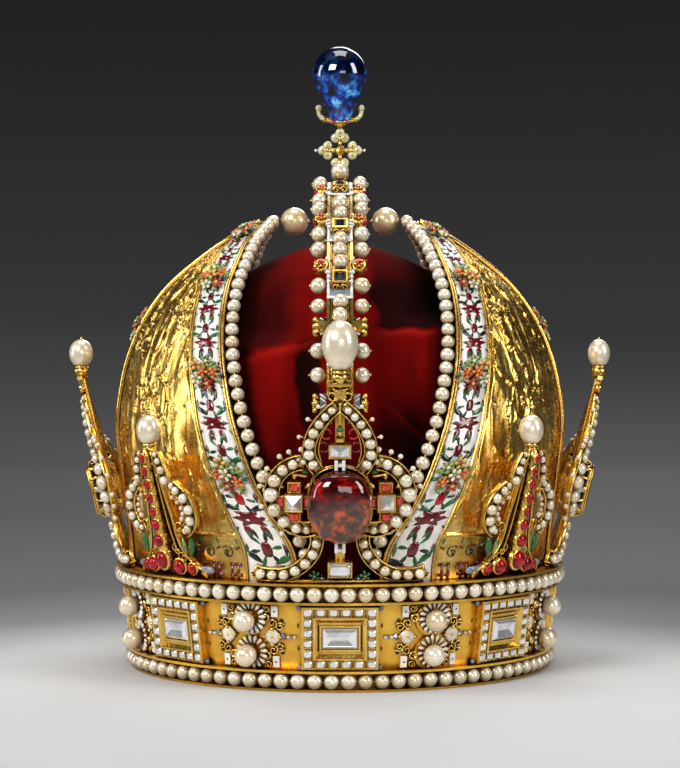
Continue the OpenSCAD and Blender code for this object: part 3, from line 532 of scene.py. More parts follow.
def shell_normal(u, t):
    a, b, _ = shell_size(u)
    across = np.stack(np.broadcast_arrays(-a * np.sin(t), b * np.cos(t), 0 * t), -1)
    along = shell_point(np.minimum(u + 0.01, 1), t) - shell_point(np.maximum(u - 0.01, 0), t)
    return unit(np.cross(across, along))


def shell_turn(u, s):
    """Angle at a distance s round the shell from its back edge."""
    e = shell_size(u)[2]
    half = e - s / 2 / shell_speed(u, e)
    return e - s / shell_speed(u, half)


def half_girth(u):
    e = shell_size(u)[2]
    return e * shell_speed(u, e / 2)


def band_share(u):
    return np.minimum(1, half_girth(u) / FULL_BAND_W)


def bed_at(u):
    """Width of the bed for an edge's enamel band."""
    return BED_W + (BED_FOOT_W - BED_W) * (1 - u) ** 2.2


def raised(u, t, h):
    """Points at height h above the right shell."""
    return shell_point(u, t) + np.asarray(h)[..., None] * shell_normal(u, t)


def lengths_up(t_of_u):
    """Shares u and the distances from the foot to them along a line that runs up the shell."""
    u = np.linspace(0, 1, 200)
    p = shell_point(u, t_of_u(u))
    return u, np.concatenate([[0], np.cumsum(np.linalg.norm(np.diff(p, axis=0), axis=1))])


def on_shell(line, turn, lift, hand):
    """On a shell: y is the length up a line on it, turn the angle at a share u and a local x.

    Also gives the length up to the end of the enamel bands.
    """
    table_u, table_y = lengths_up(line)
    def where(points):
        x, y, out = points.T
        u = np.interp(y, table_y, table_u)
        return raised(u, turn(u, x), out + lift) * [hand, 1, 1]
    return where, np.interp(BAND_END, table_u, table_y)


def on_edge_band(side, hand):
    """On an edge's enamel band: x from -1 to 1 across it, y up it; side 1 is the back."""
    return on_shell(
        lambda u: shell_turn(u, (RAIL_W + bed_at(u) / 2) * band_share(u)),
        lambda u, x: side * shell_turn(u, band_share(u) * (RAIL_W + bed_at(u) / 2 * (1 + x))),
        FIT + ENAMEL_T, hand,
    )


def on_side_band(hand):
    """On a side's enamel band: x from -1 to 1 across it, y up it."""
    return on_shell(
        lambda u: 0 * u,
        lambda u, x: shell_size(u)[2] * SIDE_BED_W * x * band_share(u) / half_girth(u),
        FIT + ENAMEL_T, hand,
    )


def on_field(side, hand):
    """On a shell's plain field: x from the edge's band towards the side, y up it."""
    return on_shell(
        lambda u: shell_turn(u, 30 * band_share(u)),
        lambda u, x: side * shell_turn(u, (RAIL_W + bed_at(u) + THIN_RAIL_W) * band_share(u) + x),
        0.3, hand,
    )[0]


def soft_step(s):
    t = np.clip(s, 0, 1)
    return t * t * (3 - 2 * t)


# Materials
class Paint:
    """A material in the making; most methods add a node and return its output."""

    def __init__(self, name):
        self.material = bpy.data.materials.new(name)
        self.material.use_nodes = True
        tree = self.material.node_tree
        self.nodes, self.links = tree.nodes, tree.links
        self.shader = tree.nodes["Principled BSDF"]

    def feed(self, socket, value):
        """Gives a socket a plain value or another node's output."""
        if isinstance(value, bpy.types.NodeSocket):
            self.links.new(value, socket)
        elif socket.type == "RGBA" and len(value) == 3:
            socket.default_value = (*value, 1)
        else:
            socket.default_value = value

    def node(self, kind, inputs, output, **settings):
        node = self.nodes.new("ShaderNode" + kind)
        for name, value in settings.items():
            setattr(node, name, value)
        for key, value in inputs.items():
            self.feed(node.inputs[key], value)
        return node.outputs[output]

    def place(self):
        return self.node("TexCoord", {}, "Object")

    def axes(self):
        split = self.nodes.new("ShaderNodeSeparateXYZ")
        self.feed(split.inputs["Vector"], self.place())
        return split.outputs["X"], split.outputs["Y"], split.outputs["Z"]

    def noise(self, scale, detail=3.0, roughness=0.55, stretch=None):
        """Noise over the object's own place; scale is in waves per metre."""
        place = self.place()
        if stretch:
            place = self.node("Mapping", {"Vector": place, "Scale": stretch}, "Vector")
        inputs = {"Vector": place, "Scale": scale, "Detail": detail, "Roughness": roughness}
        return self.node("TexNoise", inputs, "Fac")

    def ramp(self, value, *stops):
        node = self.nodes.new("ShaderNodeValToRGB")
        elements = node.color_ramp.elements
        while len(elements) < len(stops):
            elements.new(0.5)
        for element, (position, colour) in zip(elements, stops):
            element.position = position
            element.color = (*colour, 1)
        self.feed(node.inputs["Fac"], value)
        return node.outputs["Color"]

    def mixed(self, share, first, second, kind="MIX"):
        inputs = {0: share, 6: first, 7: second}
        return self.node("Mix", inputs, 2, data_type="RGBA", blend_type=kind)

    def scaled(self, value, low, high, from_low=0.0, from_high=1.0):
        inputs = {"Value": value, "From Min": from_low, "From Max": from_high, "To Min": low, "To Max": high}
        return self.node("MapRange", inputs, "Result")

    def joined(self, kind, first, second):
        return self.node("Math", {0: first, 1: second}, 0, operation=kind)

    def ao_painted_shade(self, distance, low, high, dark=(0, 0, 0)):
        """Painted shade: white on open faces, dark in recesses where shade falls, by ambient occlusion."""
        open_share = self.node("AmbientOcclusion", {"Distance": distance}, "AO", samples=4)
        return self.ramp(open_share, (low, dark), (high, (1, 1, 1)))

    def windows(self, x, z, raw_x, rows):
        """The greatest of several soft-edged windows.

        A row has the limits between which the mask rises or falls at the left, right, lower
        and upper edge, then the window's rise per metre along x, and how strong it is.
        """
        best = None
        for *edges, slope, share in rows:
            level = self.joined("ADD", z, self.joined("MULTIPLY", raw_x, -slope))
            mask = None
            for value, up, edge in zip((x, x, level, level), (1, 0, 1, 0), edges):
                side = self.scaled(value, 1 - up, up, *edge)
                mask = self.joined("MULTIPLY", mask, side) if mask else side
            mask = self.joined("MULTIPLY", mask, share)
            best = self.joined("MAXIMUM", best, mask) if best else mask
        return best

    def bump(self, height, distance, strength=1.0):
        inputs = {"Height": height, "Distance": distance, "Strength": strength}
        self.feed(self.shader.inputs["Normal"], self.node("Bump", inputs, "Normal"))

    def done(self, colour, inputs):
        self.feed(self.shader.inputs["Base Color"], colour)
        for name, value in inputs.items():
            self.feed(self.shader.inputs[name], value)
        return self.material


def make_gold(name, bright, deep, recess_shade, rough=0.24, grain=700):
    paint = Paint(name)
    tone = paint.ramp(paint.noise(170, 4), (0.3, deep), (0.7, bright))
    # Painted shade: the recess colour is mixed in where ambient occlusion finds recesses.
    tone = paint.mixed(paint.ao_painted_shade(0.004, 0.25, 0.85), recess_shade, tone)
    roughness = paint.scaled(paint.noise(420, 3), rough - 0.09, rough + 0.13)
    paint.bump(paint.noise(grain, 4, 0.65), 0.00006)
    return paint.done(tone, {"Metallic": 1, "Roughness": roughness})


def make_relief_gold(name):
    """Chased gold: fine strokes that run up the shell, with painted shade in the strokes' grooves and in the
    hollows.
    """
    paint = Paint(name)
    tone = paint.ramp(paint.noise(140, 4), (0.32, (0.72, 0.41, 0.07)), (0.68, (1.0, 0.70, 0.21)))
    strokes = paint.noise(1.0, 4, 0.6, (1500, 1500, 260))
    # Painted shade along the grooves of the strokes, darkening the gold where the bump sinks.
    dark = paint.ramp(strokes, (0.36, (0.36, 0.22, 0.08)), (0.47, (1, 1, 1)))
    tone = paint.mixed(0.4, tone, dark, "MULTIPLY")
    # Painted shade in the hollows, by ambient occlusion.
    tone = paint.mixed(paint.ao_painted_shade(0.003, 0.3, 0.92), (0.12, 0.035, 0.003), tone)
    roughness = paint.scaled(paint.noise(600, 3), 0.16, 0.42)
    paint.bump(strokes, 0.00007, 0.7)
    return paint.done(tone, {"Metallic": 1, "Roughness": roughness})


def make_pearl(name, light, dark, shade):
    """Nacre, each pearl with a tone of its own, with painted shade in the crevices between pearls."""
    paint = Paint(name)
    island = paint.node("NewGeometry", {}, "Random Per Island")
    tone = paint.ramp(island, (0.0, dark), (0.55, light), (1.0, shade))
    cloud = paint.ramp(paint.noise(260, 2), (0.35, (0.88, 0.85, 0.80)), (0.65, (1, 1, 1)))
    tone = paint.mixed(1.0, tone, cloud, "MULTIPLY")
    # Painted shade: a darker brown copy of the tone, mixed in below by ambient occlusion where pearls crowd.
    deep = paint.mixed(1.0, tone, (0.30, 0.22, 0.11), "MULTIPLY")
    paint.bump(paint.noise(500, 2), 0.00005)
    return paint.done(paint.mixed(paint.ao_painted_shade(0.008, 0.32, 0.92), deep, tone), {
        "Metallic": 0.38, "Roughness": 0.26, "Specular IOR Level": 0.8,
        "Coat Weight": 0.8, "Coat Roughness": 0.09, "Coat IOR": 1.6,
    })


def make_stone(name, light, dark, mirror=0.0, through=0.3, ior=1.76, rough=0.04, spots=420, gloss=0.8):
    """Cut stone: clear body colour with a few darker spots, and faces that mirror the room."""
    paint = Paint(name)
    return paint.done(paint.ramp(paint.noise(spots, 2), (0.4, dark), (0.55, light)), {
        "Metallic": mirror, "Roughness": rough, "IOR": ior,
        "Transmission Weight": through, "Specular IOR Level": gloss,
    })


def make_enamel(name, light, dark):
    paint = Paint(name)
    tone = paint.ramp(paint.noise(330, 3), (0.35, dark), (0.62, light))
    # Painted shade: enamel darkened in its recesses by ambient occlusion.
    painted_enamel_shade = paint.ao_painted_shade(0.0015, 0.1, 0.75, (0.3, 0.2, 0.12))
    paint.bump(paint.noise(600, 3), 0.00004)
    return paint.done(paint.mixed(1.0, tone, painted_enamel_shade, "MULTIPLY"), {
        "Roughness": 0.16, "Coat Weight": 0.4, "Coat Roughness": 0.06,
    })


# Painted shadow: hollows of the cap's front, painted near black as if they take no light, in metres: left
# and right, then lower and upper level, the width of the soft edge at each of the four, the rise
# per metre sideways, and how dark they are
PAINTED_SHADOW_HOLLOWS = [
    (-0.066, -0.020, 0.156, 0.200, 0.004, 0.008, 0.0012, 0.020, 0.38, 0.74),
    (-0.0165, -0.004, 0.104, 0.150, 0.0012, 0.001, 0.012, 0.008, 0.0, 0.96),
    (0.014, 0.062, 0.1555, 0.184, 0.0025, 0.004, 0.0012, 0.012, 0.05, 0.95),
    (0.016, 0.037, 0.086, 0.122, 0.006, 0.006, 0.010, 0.010, 0.0, 0.9),
    (0.031, 0.035, 0.118, 0.143, 0.003, 0.002, 0.010, 0.007, 0.0, 0.5),
    (-0.060, -0.030, 0.078, 0.095, 0.010, 0.010, 0.004, 0.008, 0.0, 0.6),
]
# Painted highlights: lit creases of the cap, painted lighter, in metres: both ends along x, height
# at x = 0, half the width, the rise per metre sideways, and how light they are
PAINTED_LIT_CREASES = [
    (-0.046, -0.012, 0.1535, 0.0016, 0.38, 0.5),
    (0.018, 0.050, 0.1535, 0.0014, 0.05, 0.55),
    (-0.040, -0.020, 0.1000, 0.0012, 0.55, 0.22),
    (0.020, 0.044, 0.1380, 0.0012, -0.9, 0.2),
]
CREASE_END = 0.004
CAP_SWAY = 0.005


def make_velvet(name):
    """Crimson cloth whose front has black hollows of painted shadow and lit creases of painted highlight, as
    in the picture.
    """
    paint = Paint(name)
    tone = paint.ramp(paint.noise(26, 4), (0.3, (0.15, 0.0010, 0.0006)), (0.7, (0.24, 0.0018, 0.0008)))
    raw_x, raw_y, raw_z = paint.axes()
    x = paint.joined("ADD", raw_x, paint.scaled(paint.noise(30, 3), -CAP_SWAY, CAP_SWAY, 0.3, 0.7))
    z = paint.joined("ADD", raw_z, paint.scaled(paint.noise(21, 3), -CAP_SWAY, CAP_SWAY, 0.3, 0.7))
    front = paint.scaled(raw_y, 1, 0, -0.02, 0.0)
    # Painted shadow: near-black windows over the hollows of the front.
    dark = paint.windows(x, z, raw_x, [
        (*((v - soft, v + soft) for v, soft in zip(row[:4], row[4:8])), *row[8:]) for row in PAINTED_SHADOW_HOLLOWS
    ])
    # The near-black colour is the painted shadow, on the front only.
    tone = paint.mixed(paint.joined("MULTIPLY", dark, front), tone, (0.006, 0.0006, 0.0006))
    # Painted highlight: lighter red windows along the creases of the front.
    painted_highlight = paint.windows(x, z, raw_x, [
        (
            (left - CREASE_END, left + CREASE_END), (right - CREASE_END, right + CREASE_END),
            (middle - 3 * half, middle), (middle, middle + half), slope, share,
        )
        for left, right, middle, half, slope, share in PAINTED_LIT_CREASES
    ])
    # The lighter red is the painted highlight, on the front only.
    tone = paint.mixed(paint.joined("MULTIPLY", painted_highlight, front), tone, (0.42, 0.012, 0.006))
    # Painted shade in the folds, by ambient occlusion.
    tone = paint.mixed(1.0, tone, paint.ao_painted_shade(0.05, 0.25, 0.8, (0.03, 0.02, 0.02)), "MULTIPLY")
    paint.bump(paint.noise(1600, 2), 0.00025, 0.5)
    return paint.done(tone, {
        "Roughness": 0.9, "Specular IOR Level": 0.05,
        "Sheen Weight": 0.08, "Sheen Roughness": 0.3, "Sheen Tint": (0.6, 0.008, 0.008, 1),
    })


def make_sapphire(name):
    """Deep blue stone: near black at the top, with bright blue patches below that are painted light from
    reflections inside the stone.
    """
    paint = Paint(name)
    # Painted light: the bright blue and cyan stops stand in for reflections inside the stone.
    tone = paint.ramp(
        paint.noise(190, 3, 0.6),
        (0.42, (0.001, 0.002, 0.010)), (0.49, (0.001, 0.012, 0.13)), (0.56, (0.003, 0.07, 0.55)),
        (0.62, (0.03, 0.30, 0.9)), (0.70, (0.30, 0.75, 1.0)),
    )
    low = paint.scaled(paint.axes()[2], 1, 0.06, 0.262, 0.274)
    return paint.done(paint.mixed(low, (0.001, 0.002, 0.012), tone), {
        "Roughness": 0.04, "IOR": 1.77, "Transmission Weight": 0.04, "Specular IOR Level": 0.6,
    })


def make_red_stone(name):
    """Polished stone, dark red above and brown with orange patches below a slanted border."""
    paint = Paint(name)
    x, _, z = paint.axes()
    level = paint.joined("ADD", z, paint.scaled(x, 0.0045, -0.0045, -0.013, 0.013))
    upper = paint.scaled(level, 0, 1, 0.0785, 0.0805)
    red = paint.ramp(
        paint.noise(150, 4, 0.65, (1.0, 1.0, 1.7)),
        (0.40, (0.018, 0.001, 0.001)), (0.52, (0.11, 0.002, 0.002)),
        (0.60, (0.30, 0.006, 0.004)), (0.70, (0.55, 0.02, 0.01)),
    )
    brown = paint.ramp(
        paint.noise(230, 3, 0.6),
        (0.40, (0.06, 0.022, 0.010)), (0.52, (0.17, 0.05, 0.018)),
        (0.60, (0.62, 0.07, 0.006)), (0.72, (0.48, 0.12, 0.03)),
    )
    paint.bump(paint.noise(120, 3), 0.0005, 0.5)
    return paint.done(paint.mixed(upper, brown, red), {
        "Roughness": 0.07, "IOR": 1.6, "Transmission Weight": 0.1, "Specular IOR Level": 0.6,
    })


PAINTS = {name: make(name, *settings) for make, name, *settings in (
    # The third colour of each gold is the painted shade of its recesses.
    (make_gold, "gold", (1.0, 0.69, 0.19), (0.80, 0.46, 0.08), (0.10, 0.035, 0.003)),
    (make_gold, "wall_gold", (1.0, 0.62, 0.10), (0.84, 0.43, 0.045), (0.17, 0.05, 0.003), 0.27, 300),
    (make_relief_gold, "relief_gold"),
    (make_pearl, "pearl", (0.97, 0.85, 0.63), (0.86, 0.70, 0.45), (1.0, 0.93, 0.76)),
    (make_pearl, "warm_pearl", (1.0, 0.76, 0.45), (0.97, 0.70, 0.40), (1.0, 0.80, 0.52)),
    (make_stone, "diamond", (0.95, 0.96, 0.96), (0.78, 0.80, 0.81), 0.6, 0.1, 2.2, 0.04, 200),
    (make_stone, "dark_stone", (0.03, 0.035, 0.04), (0.004, 0.005, 0.006), 0.12, 0.1, 2.2),
    (make_stone, "ruby", (0.44, 0.001, 0.005), (0.14, 0.0005, 0.002), 0.0, 0.0, 1.76, 0.1, 420, 0.25),
    (make_stone, "garnet", (0.70, 0.05, 0.004), (0.34, 0.012, 0.002), 0.0, 0.0, 1.76, 0.1, 420, 0.45),
    (make_velvet, "velvet"),
    (make_sapphire, "sapphire"),
    (make_red_stone, "red_stone"),
    (make_enamel, "white", (0.90, 0.88, 0.82), (0.78, 0.75, 0.68)),
    (make_enamel, "cream", (0.82, 0.74, 0.58), (0.66, 0.55, 0.38)),
    (make_enamel, "green", (0.015, 0.16, 0.035), (0.004, 0.05, 0.015)),
    (make_enamel, "leaf", (0.30, 0.36, 0.07), (0.10, 0.18, 0.04)),
    (make_enamel, "black", (0.012, 0.016, 0.012), (0.005, 0.006, 0.005)),
    (make_enamel, "maroon", (0.17, 0.006, 0.012), (0.08, 0.003, 0.006)),
    (make_enamel, "red", (0.48, 0.012, 0.012), (0.26, 0.006, 0.008)),
    (make_enamel, "orange", (0.78, 0.20, 0.03), (0.50, 0.09, 0.02)),
    (make_enamel, "yellow", (0.75, 0.52, 0.10), (0.55, 0.33, 0.05)),
    (make_enamel, "pale", (0.70, 0.68, 0.42), (0.50, 0.46, 0.22)),
    (make_enamel, "blue_grey", (0.26, 0.31, 0.36), (0.12, 0.15, 0.19)),
)}


class Piece:
    """Shapes gathered into one object, which stands for the CAD nodes that it names.

    Shapes are laid where the piece's own place function puts them.
    """

    def __init__(self, name):
        self.name = name
        self.where = None
        self.points = []
        self.faces = []
        self.count = 0
        self.paints = []

    def lay(self, paint_name, shape, *place, even=True, **turns):
        """Adds a shape, put where place and turns say; even shades it smoothly."""
        points, faces = put(shape, *place, **turns)
        if self.where:
            points = self.where(points)
        if paint_name not in self.paints:
            self.paints.append(paint_name)
        self.points.append(points)
        for f in faces:
            self.faces.append((f + self.count, self.paints.index(paint_name), even))
        self.count += len(points)

    def finish(self, slot, *nodes):
        mesh = bpy.data.meshes.new(self.name)
        points = np.vstack(self.points) * MM
        mesh.vertices.add(len(points))
        mesh.vertices.foreach_set("co", points.ravel())
        sizes = np.concatenate([np.full(len(f), f.shape[1]) for f, _, _ in self.faces])
        loops = np.concatenate([f.ravel() for f, _, _ in self.faces])
        mesh.loops.add(len(loops))
        mesh.loops.foreach_set("vertex_index", loops)
        mesh.polygons.add(len(sizes))
        mesh.polygons.foreach_set("loop_start", np.concatenate([[0], np.cumsum(sizes)[:-1]]))
        for paint_name in self.paints:
            mesh.materials.append(PAINTS[paint_name])
        for key, column in (("material_index", 1), ("use_smooth", 2)):
            values = np.concatenate([np.full(len(row[0]), row[column]) for row in self.faces])
            mesh.polygons.foreach_set(key, values)
        mesh.update(calc_edges=True)
        mesh.validate()
        work = bmesh.new()
        work.from_mesh(mesh)
        bmesh.ops.recalc_face_normals(work, faces=work.faces)
        work.to_mesh(mesh)
        work.free()
        piece = bpy.data.objects.new(self.name, mesh)
        bpy.context.scene.collection.objects.link(piece)
        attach(piece, "root")
        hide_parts(*nodes)


def stand(where, *pieces):
    """Has the pieces lay their next shapes by a place function."""
    for piece in pieces:
        piece.where = where


# Circlet
def rim_row(name, node, z):
    """Row of pearls between two lips."""
    piece = Piece(name)
    count = math.floor(2 * math.pi * row_r(z) / (RIM_PEARL_D + RIM_PEARL_GAP))
    for i in range(count):
        az = (i + 0.5) * 360 / count
        piece.where = lambda p: spin(p, az)
        piece.lay("pearl", pearl(RIM_PEARL_D * chance.uniform(1.02, 1.06)), y=-row_r(z), z=z)
    piece.finish("pearl", node)


ROSETTE_AZIMUTHS = [
    hand * a
    for hand in (-1, 1)
    for a in (
        DIAGONAL_ANGLE / 2, (90 + DIAGONAL_ANGLE) / 2,
        180 - (90 + DIAGONAL_ANGLE) / 2, 180 - DIAGONAL_ANGLE / 2,
    )
]


def rosette_side(hand, petals, scrolls):
    """What lies on one side of a pair of rosettes: small plates, leaves, buttons and scrolls."""
    button = lathe([(0, 0), (1.9, 0), (2.1, 0.9), (1.7, 1.9), (1.2, 1.5), (0.9, 0.7), (0, 0.6)], 12)
    diamond = pad(circle(3.7, 8) * (1 + 0.16 * np.cos(np.arange(8) * np.pi)[:, None]), 0.5, 2)
    leaf = pad(lens(3.2, 1.5), 0.6, 2)
    middle = hand * 10.4
    petals.lay("cream", diamond, middle, z=1.0)
    petals.lay("yellow", pad(circle(0.7, 6), 0.3, 2), middle, z=1.5)
    for x, y in ((-3.4, 0), (3.4, 0), (0, -3.4), (0, 3.4)):
        scrolls.lay("gold", ball(1.7, 5, 8), middle + x, y, 1.4)
    petals.lay("blue_grey", point_cut(1.9, 2.6, 1.0), hand * 15.2, z=0.9, turn=45, even=False)
    for side in (-1, 1):
        petals.lay("white", block(2.9, 5.0, 0, 1.3, 0.25), hand * 11.6, side * 11.0, even=False)
        petals.lay("black", pad(circle(0.5, 6), 0.2, 2), hand * 11.6, side * 11.0, 1.3)
        scrolls.lay("gold", button, hand * 7.6, side * 8.2, 0.3)
        scrolls.lay("gold", ball(1.0, 4, 7), hand * 7.6, side * 8.2, 1.2)
        for x, y, r, turn in ((8.3, 12.2, 1.7, 120), (10.6, 5.9, 2.2, 250), (13.9, 4.4, 2.0, 30)):
            volute = handed(bar(curl(r, 1.35, turn), 0.55, 1.5, -0.3), hand * side)
            scrolls.lay("gold", volute, hand * x, side * y, turn=0 if side > 0 else 180)
        petals.lay("green", leaf, hand * 13.4, side * 3.2, 0.4, -hand * side * 35 + 90 - 90 * side)
        petals.lay("green", leaf, hand * 7.2, side * 12.6, 0.3, hand * 80)
    for i, tone in enumerate(("cream", "blue_grey", "cream")):
        petals.lay(tone, ball(1.5, 5, 8), hand * (17.4 + 1.3 * i), z=0.9)


def rosettes():
    """Pairs of pearls in petals, with what lies on both sides of them."""
    pearls = Piece("rosette_round_pearls")
    petals = Piece("rosette_petals")
    scrolls = Piece("rosette_scrolls")
    for az in ROSETTE_AZIMUTHS:
        for side in (-1, 1):
            stand(on_wall(az, MIDDLE_Z + side * ROSETTE_PITCH / 2), pearls, petals, scrolls)
            shape = pearl(ROSETTE_PEARL_D * 0.97, 12, 20, 0.05)
            pearls.lay("pearl", shape, z=ROSETTE_T + ROSETTE_PEARL_D / 2)
            for i in range(16):
                petal = put(pad(drop(3.9, 2.0), 0.9, 3), y=3.6, z=ROSETTE_T + 0.3, tip=12)
                petals.lay("white" if side > 0 else "cream", petal, 1.2, 0.8, turn=i * 22.5 + 6)
            scrolls.lay("gold", wire(flat(circle(4.0, 24), ROSETTE_T), 0.9, 6, loop=True), 1.2, 0.8)
        stand(on_wall(az, bent=True), petals, scrolls)
        for hand in (-1, 1):
            rosette_side(hand, petals, scrolls)
    pearls.finish("pearl", "rosette_pearls")
    petals.finish("enamel")
    scrolls.finish("gold")


def step_stone(w, h, crown):
    """Oblong stone with two steps round a table that shows the keel below it."""
    outlines = []
    for share_w, share_h, z in (
        (0.9, 0.9, -0.7), (1, 1, 0), (0.9, 0.86, 0.6), (0.76, 0.66, 1),
        (0.74, 0.63, 0.97), (0.5, 0.2, 0.45), (0.44, 0.06, 0.3),
    ):
        x, y = w / 2 * share_w, h / 2 * share_h
        outlines.append((np.array([(x, -y), (x, y), (-x, y), (-x, -y)]), crown * z))
    return tier(outlines)


def plaques():
    """Rectangular plaques: a frame of small stones round a large one in a sunk window."""
    border_w = (PLAQUE_W - WINDOW_W) / 2
    border_h = (PLAQUE_H - WINDOW_H) / 2
    last = BORDER_STONES - 1
    small_w = 0.68 * PLAQUE_W / BORDER_STONES
    small_h = 0.73 * PLAQUE_H / BORDER_STONES
    stones = Piece("plaque_small_stones")
    trim = Piece("plaque_corner_beads")
    for name, az in PLACES.items():
        base = Piece(f"plaque_{name}_mount")
        stone = Piece(f"plaque_{name}_stone")
        stand(on_wall(az), base, stones, stone)
        stand(on_wall(az, bent=True), trim)
        base.lay("gold", block(PLAQUE_W, PLAQUE_H, -1.5, 1.8, 0.2), even=False)
        x, y = WINDOW_W / 2, WINDOW_H / 2
        sunk = corners(x, y, PLAQUE_T - 0.3) + corners(x - 1.5, y - 1.5, 1.7)
        for shape in (
            frame_bar(PLAQUE_W, PLAQUE_H, PLAQUE_W - 2.4, PLAQUE_H - 2.4, 1.4, 2.7),
            frame_bar(WINDOW_W + 2.2, WINDOW_H + 2.2, WINDOW_W, WINDOW_H, 1.4, PLAQUE_T, 0.3),
            (np.array(sunk, float), [grid(2, 4, True)]),
            frame_bar(DIAMOND_W + 2, DIAMOND_H + 2, DIAMOND_W + 0.1, DIAMOND_H + 0.1, 1.2, 2.6),
        ):
            base.lay("gold", shape, even=False)
        box = frame_bar(small_w + 0.9, small_h + 0.9, small_w, small_h, 1.4, 2.75, 0.15)
        for i in range(BORDER_STONES):
            for j in range(BORDER_STONES):
                if 0 < i < last and 0 < j < last:
                    continue
                x = (i / last - 0.5) * (PLAQUE_W - 0.9 * border_w)
                y = (j / last - 0.5) * (PLAQUE_H - 0.9 * border_h)
                base.lay("gold", box, x, y, even=False)
                stones.lay("diamond", gem(small_w, small_h, 0.75, 0.9), x, y, 2.35, even=False)
        base.finish("gold", f"plaque_{name}")
        stone.lay("diamond", step_stone(DIAMOND_W, DIAMOND_H, 1.7), z=1.9, even=False)
        stone.finish("clear_stone", f"plaque_diamond_{name}")
        for hand in (-1, 1):
            for side in (-1, 1):
                x, y = hand * PLAQUE_W / 2, side * PLAQUE_H / 2
                trim.lay("blue_grey", ball(2.4, 6, 9, 0.7), x + hand * 0.6, y - side * 0.7, 1.6)
                trim.lay("black", pad(circle(1.0, 10), 0.06, 1, 0.05), x + hand * 8.6, side * 7)
                trim.lay("black", pad(lens(2.6, 1.0), 0.06, 1, 0.05), x + hand * 1.5, side * 5 - 1.3)
    stones.finish("clear_stone")
    trim.finish("enamel")


# Large lilies, on their plate's own plane: x beside the middle, y above the foot
LOBE_ROW = [
    (19.3, 51.4, 4.4), (23.4, 49.0, 4.8), (26.8, 44.6, 5.6), (28.2, 38.8, 6.2),
    (26.8, 32.3, 5.9), (22.9, 27.3, 5.4), (17.9, 24.4, 4.6), (13.7, 23.6, 3.6),
]
FOOT_ROW = [
    (33.0, 4.2, 4.4), (28.2, 3.8, 4.4), (23.2, 4.1, 4.4), (18.5, 5.9, 4.5),
    (14.4, 9.0, 4.5), (11.2, 13.1, 4.4), (9.6, 17.8, 4.2),
]
OGIVE_ROW = [
    (10.9, 51.4, 4.4), (12.6, 55.6, 4.6), (12.4, 60.2, 4.6), (10.8, 64.6, 4.4),
    (8.5, 68.3, 4.0), (6.0, 71.4, 3.6), (3.3, 74.0, 3.4),
]


def offset(path, distance):
    """A path in the plane, moved aside by a distance."""
    way = unit(np.gradient(path[:, :2], axis=0))
    return path[:, :2] + distance * np.stack([way[:, 1], -way[:, 0]], -1)


def bead_channel(gold, row, hand, wide, before=(), after=()):
    """Gold channel under a row of pearls, with a wire along each side."""
    line = curve([*before, *[p[:2] for p in row], *after], 28) * [hand, 1]
    gold.lay("gold", bar(flat(line), 2 * wide - 0.6, 0.7, -0.7))
    for side in (-1, 1):
        edge = offset(line, side * wide)
        gold.lay("gold", bar(flat(edge), 0.55, 1.9, -0.7))
    return line


def finials(gold, beads, line, hand, distance, count, d, start, stop):
    """Small balls on stalks outside a line."""
    outer = offset(line, hand * distance)
    root = offset(line, hand * 2.8)
    for t in np.linspace(start, stop, count):
        k = int(t * (len(line) - 1))
        stalk = np.stack([[*root[k], 0.2], [*(0.5 * (root[k] + outer[k]) + 0.3), 0.9], [*outer[k], 0.8]])
        gold.lay("gold", wire(curve(stalk, 5), 0.7, 5))
        beads.lay("cream", ball(d, 6, 9), *outer[k], 0.9)


def boxed_stone(gold, stones, x, y, w, h, kind, paint_name, high, turn=0.0):
    """Stone in a box mount with a rim; kind is table or point."""
    low = -0.7
    rim = frame_bar(w + 1.5, h + 1.5, w - 0.1, h - 0.1, low, high, 0.3)
    gold.lay("gold", rim, x, y, turn=turn, even=False)
    gold.lay("gold", block(w, h, low, high - 0.9), x, y, turn=turn, even=False)
    if kind == "point":
        stone = point_cut(w, h, 0.36 * min(w, h))
    else:
        stone = gem(w, h, 0.2 * min(w, h), 0.2 * min(w, h))
    stones.lay(paint_name, stone, x, y, high - 0.25, turn=turn, even=False)


def round_stone(gold, stones, x, y, w, h, high):
    """Domed ruby in a close collar."""
    collar = [
        (0, -0.7), (0.66 * w, -0.7), (0.62 * w, high - 0.6),
        (0.53 * w, high), (0.47 * w, high - 0.3), (0, high - 0.5),
    ]
    points, faces = lathe(collar, 12)
    gold.lay("gold", (points * [1, h / w, 1], faces), x, y)
    points, faces = ball(0.98 * w, 7, 12, 0.62)
    stones.lay("ruby", (points * [1, h / w, 1], faces), x, y, high - 0.15)


def flower(piece, x, y, d, petal_paint, heart_paint, z, petals, turn=0.0):
    """Flat flower, d across, with a ball for its heart."""
    for i in range(petals):
        petal = put(pad(drop(0.5 * d, 0.42 * d, 8), 0.16 * d, 2), y=0.06 * d)
        piece.lay(petal_paint, petal, x, y, z, turn=turn + i * 360 / petals)
    piece.lay(heart_paint, ball(0.26 * d, 5, 8), x, y, z + 0.16 * d)


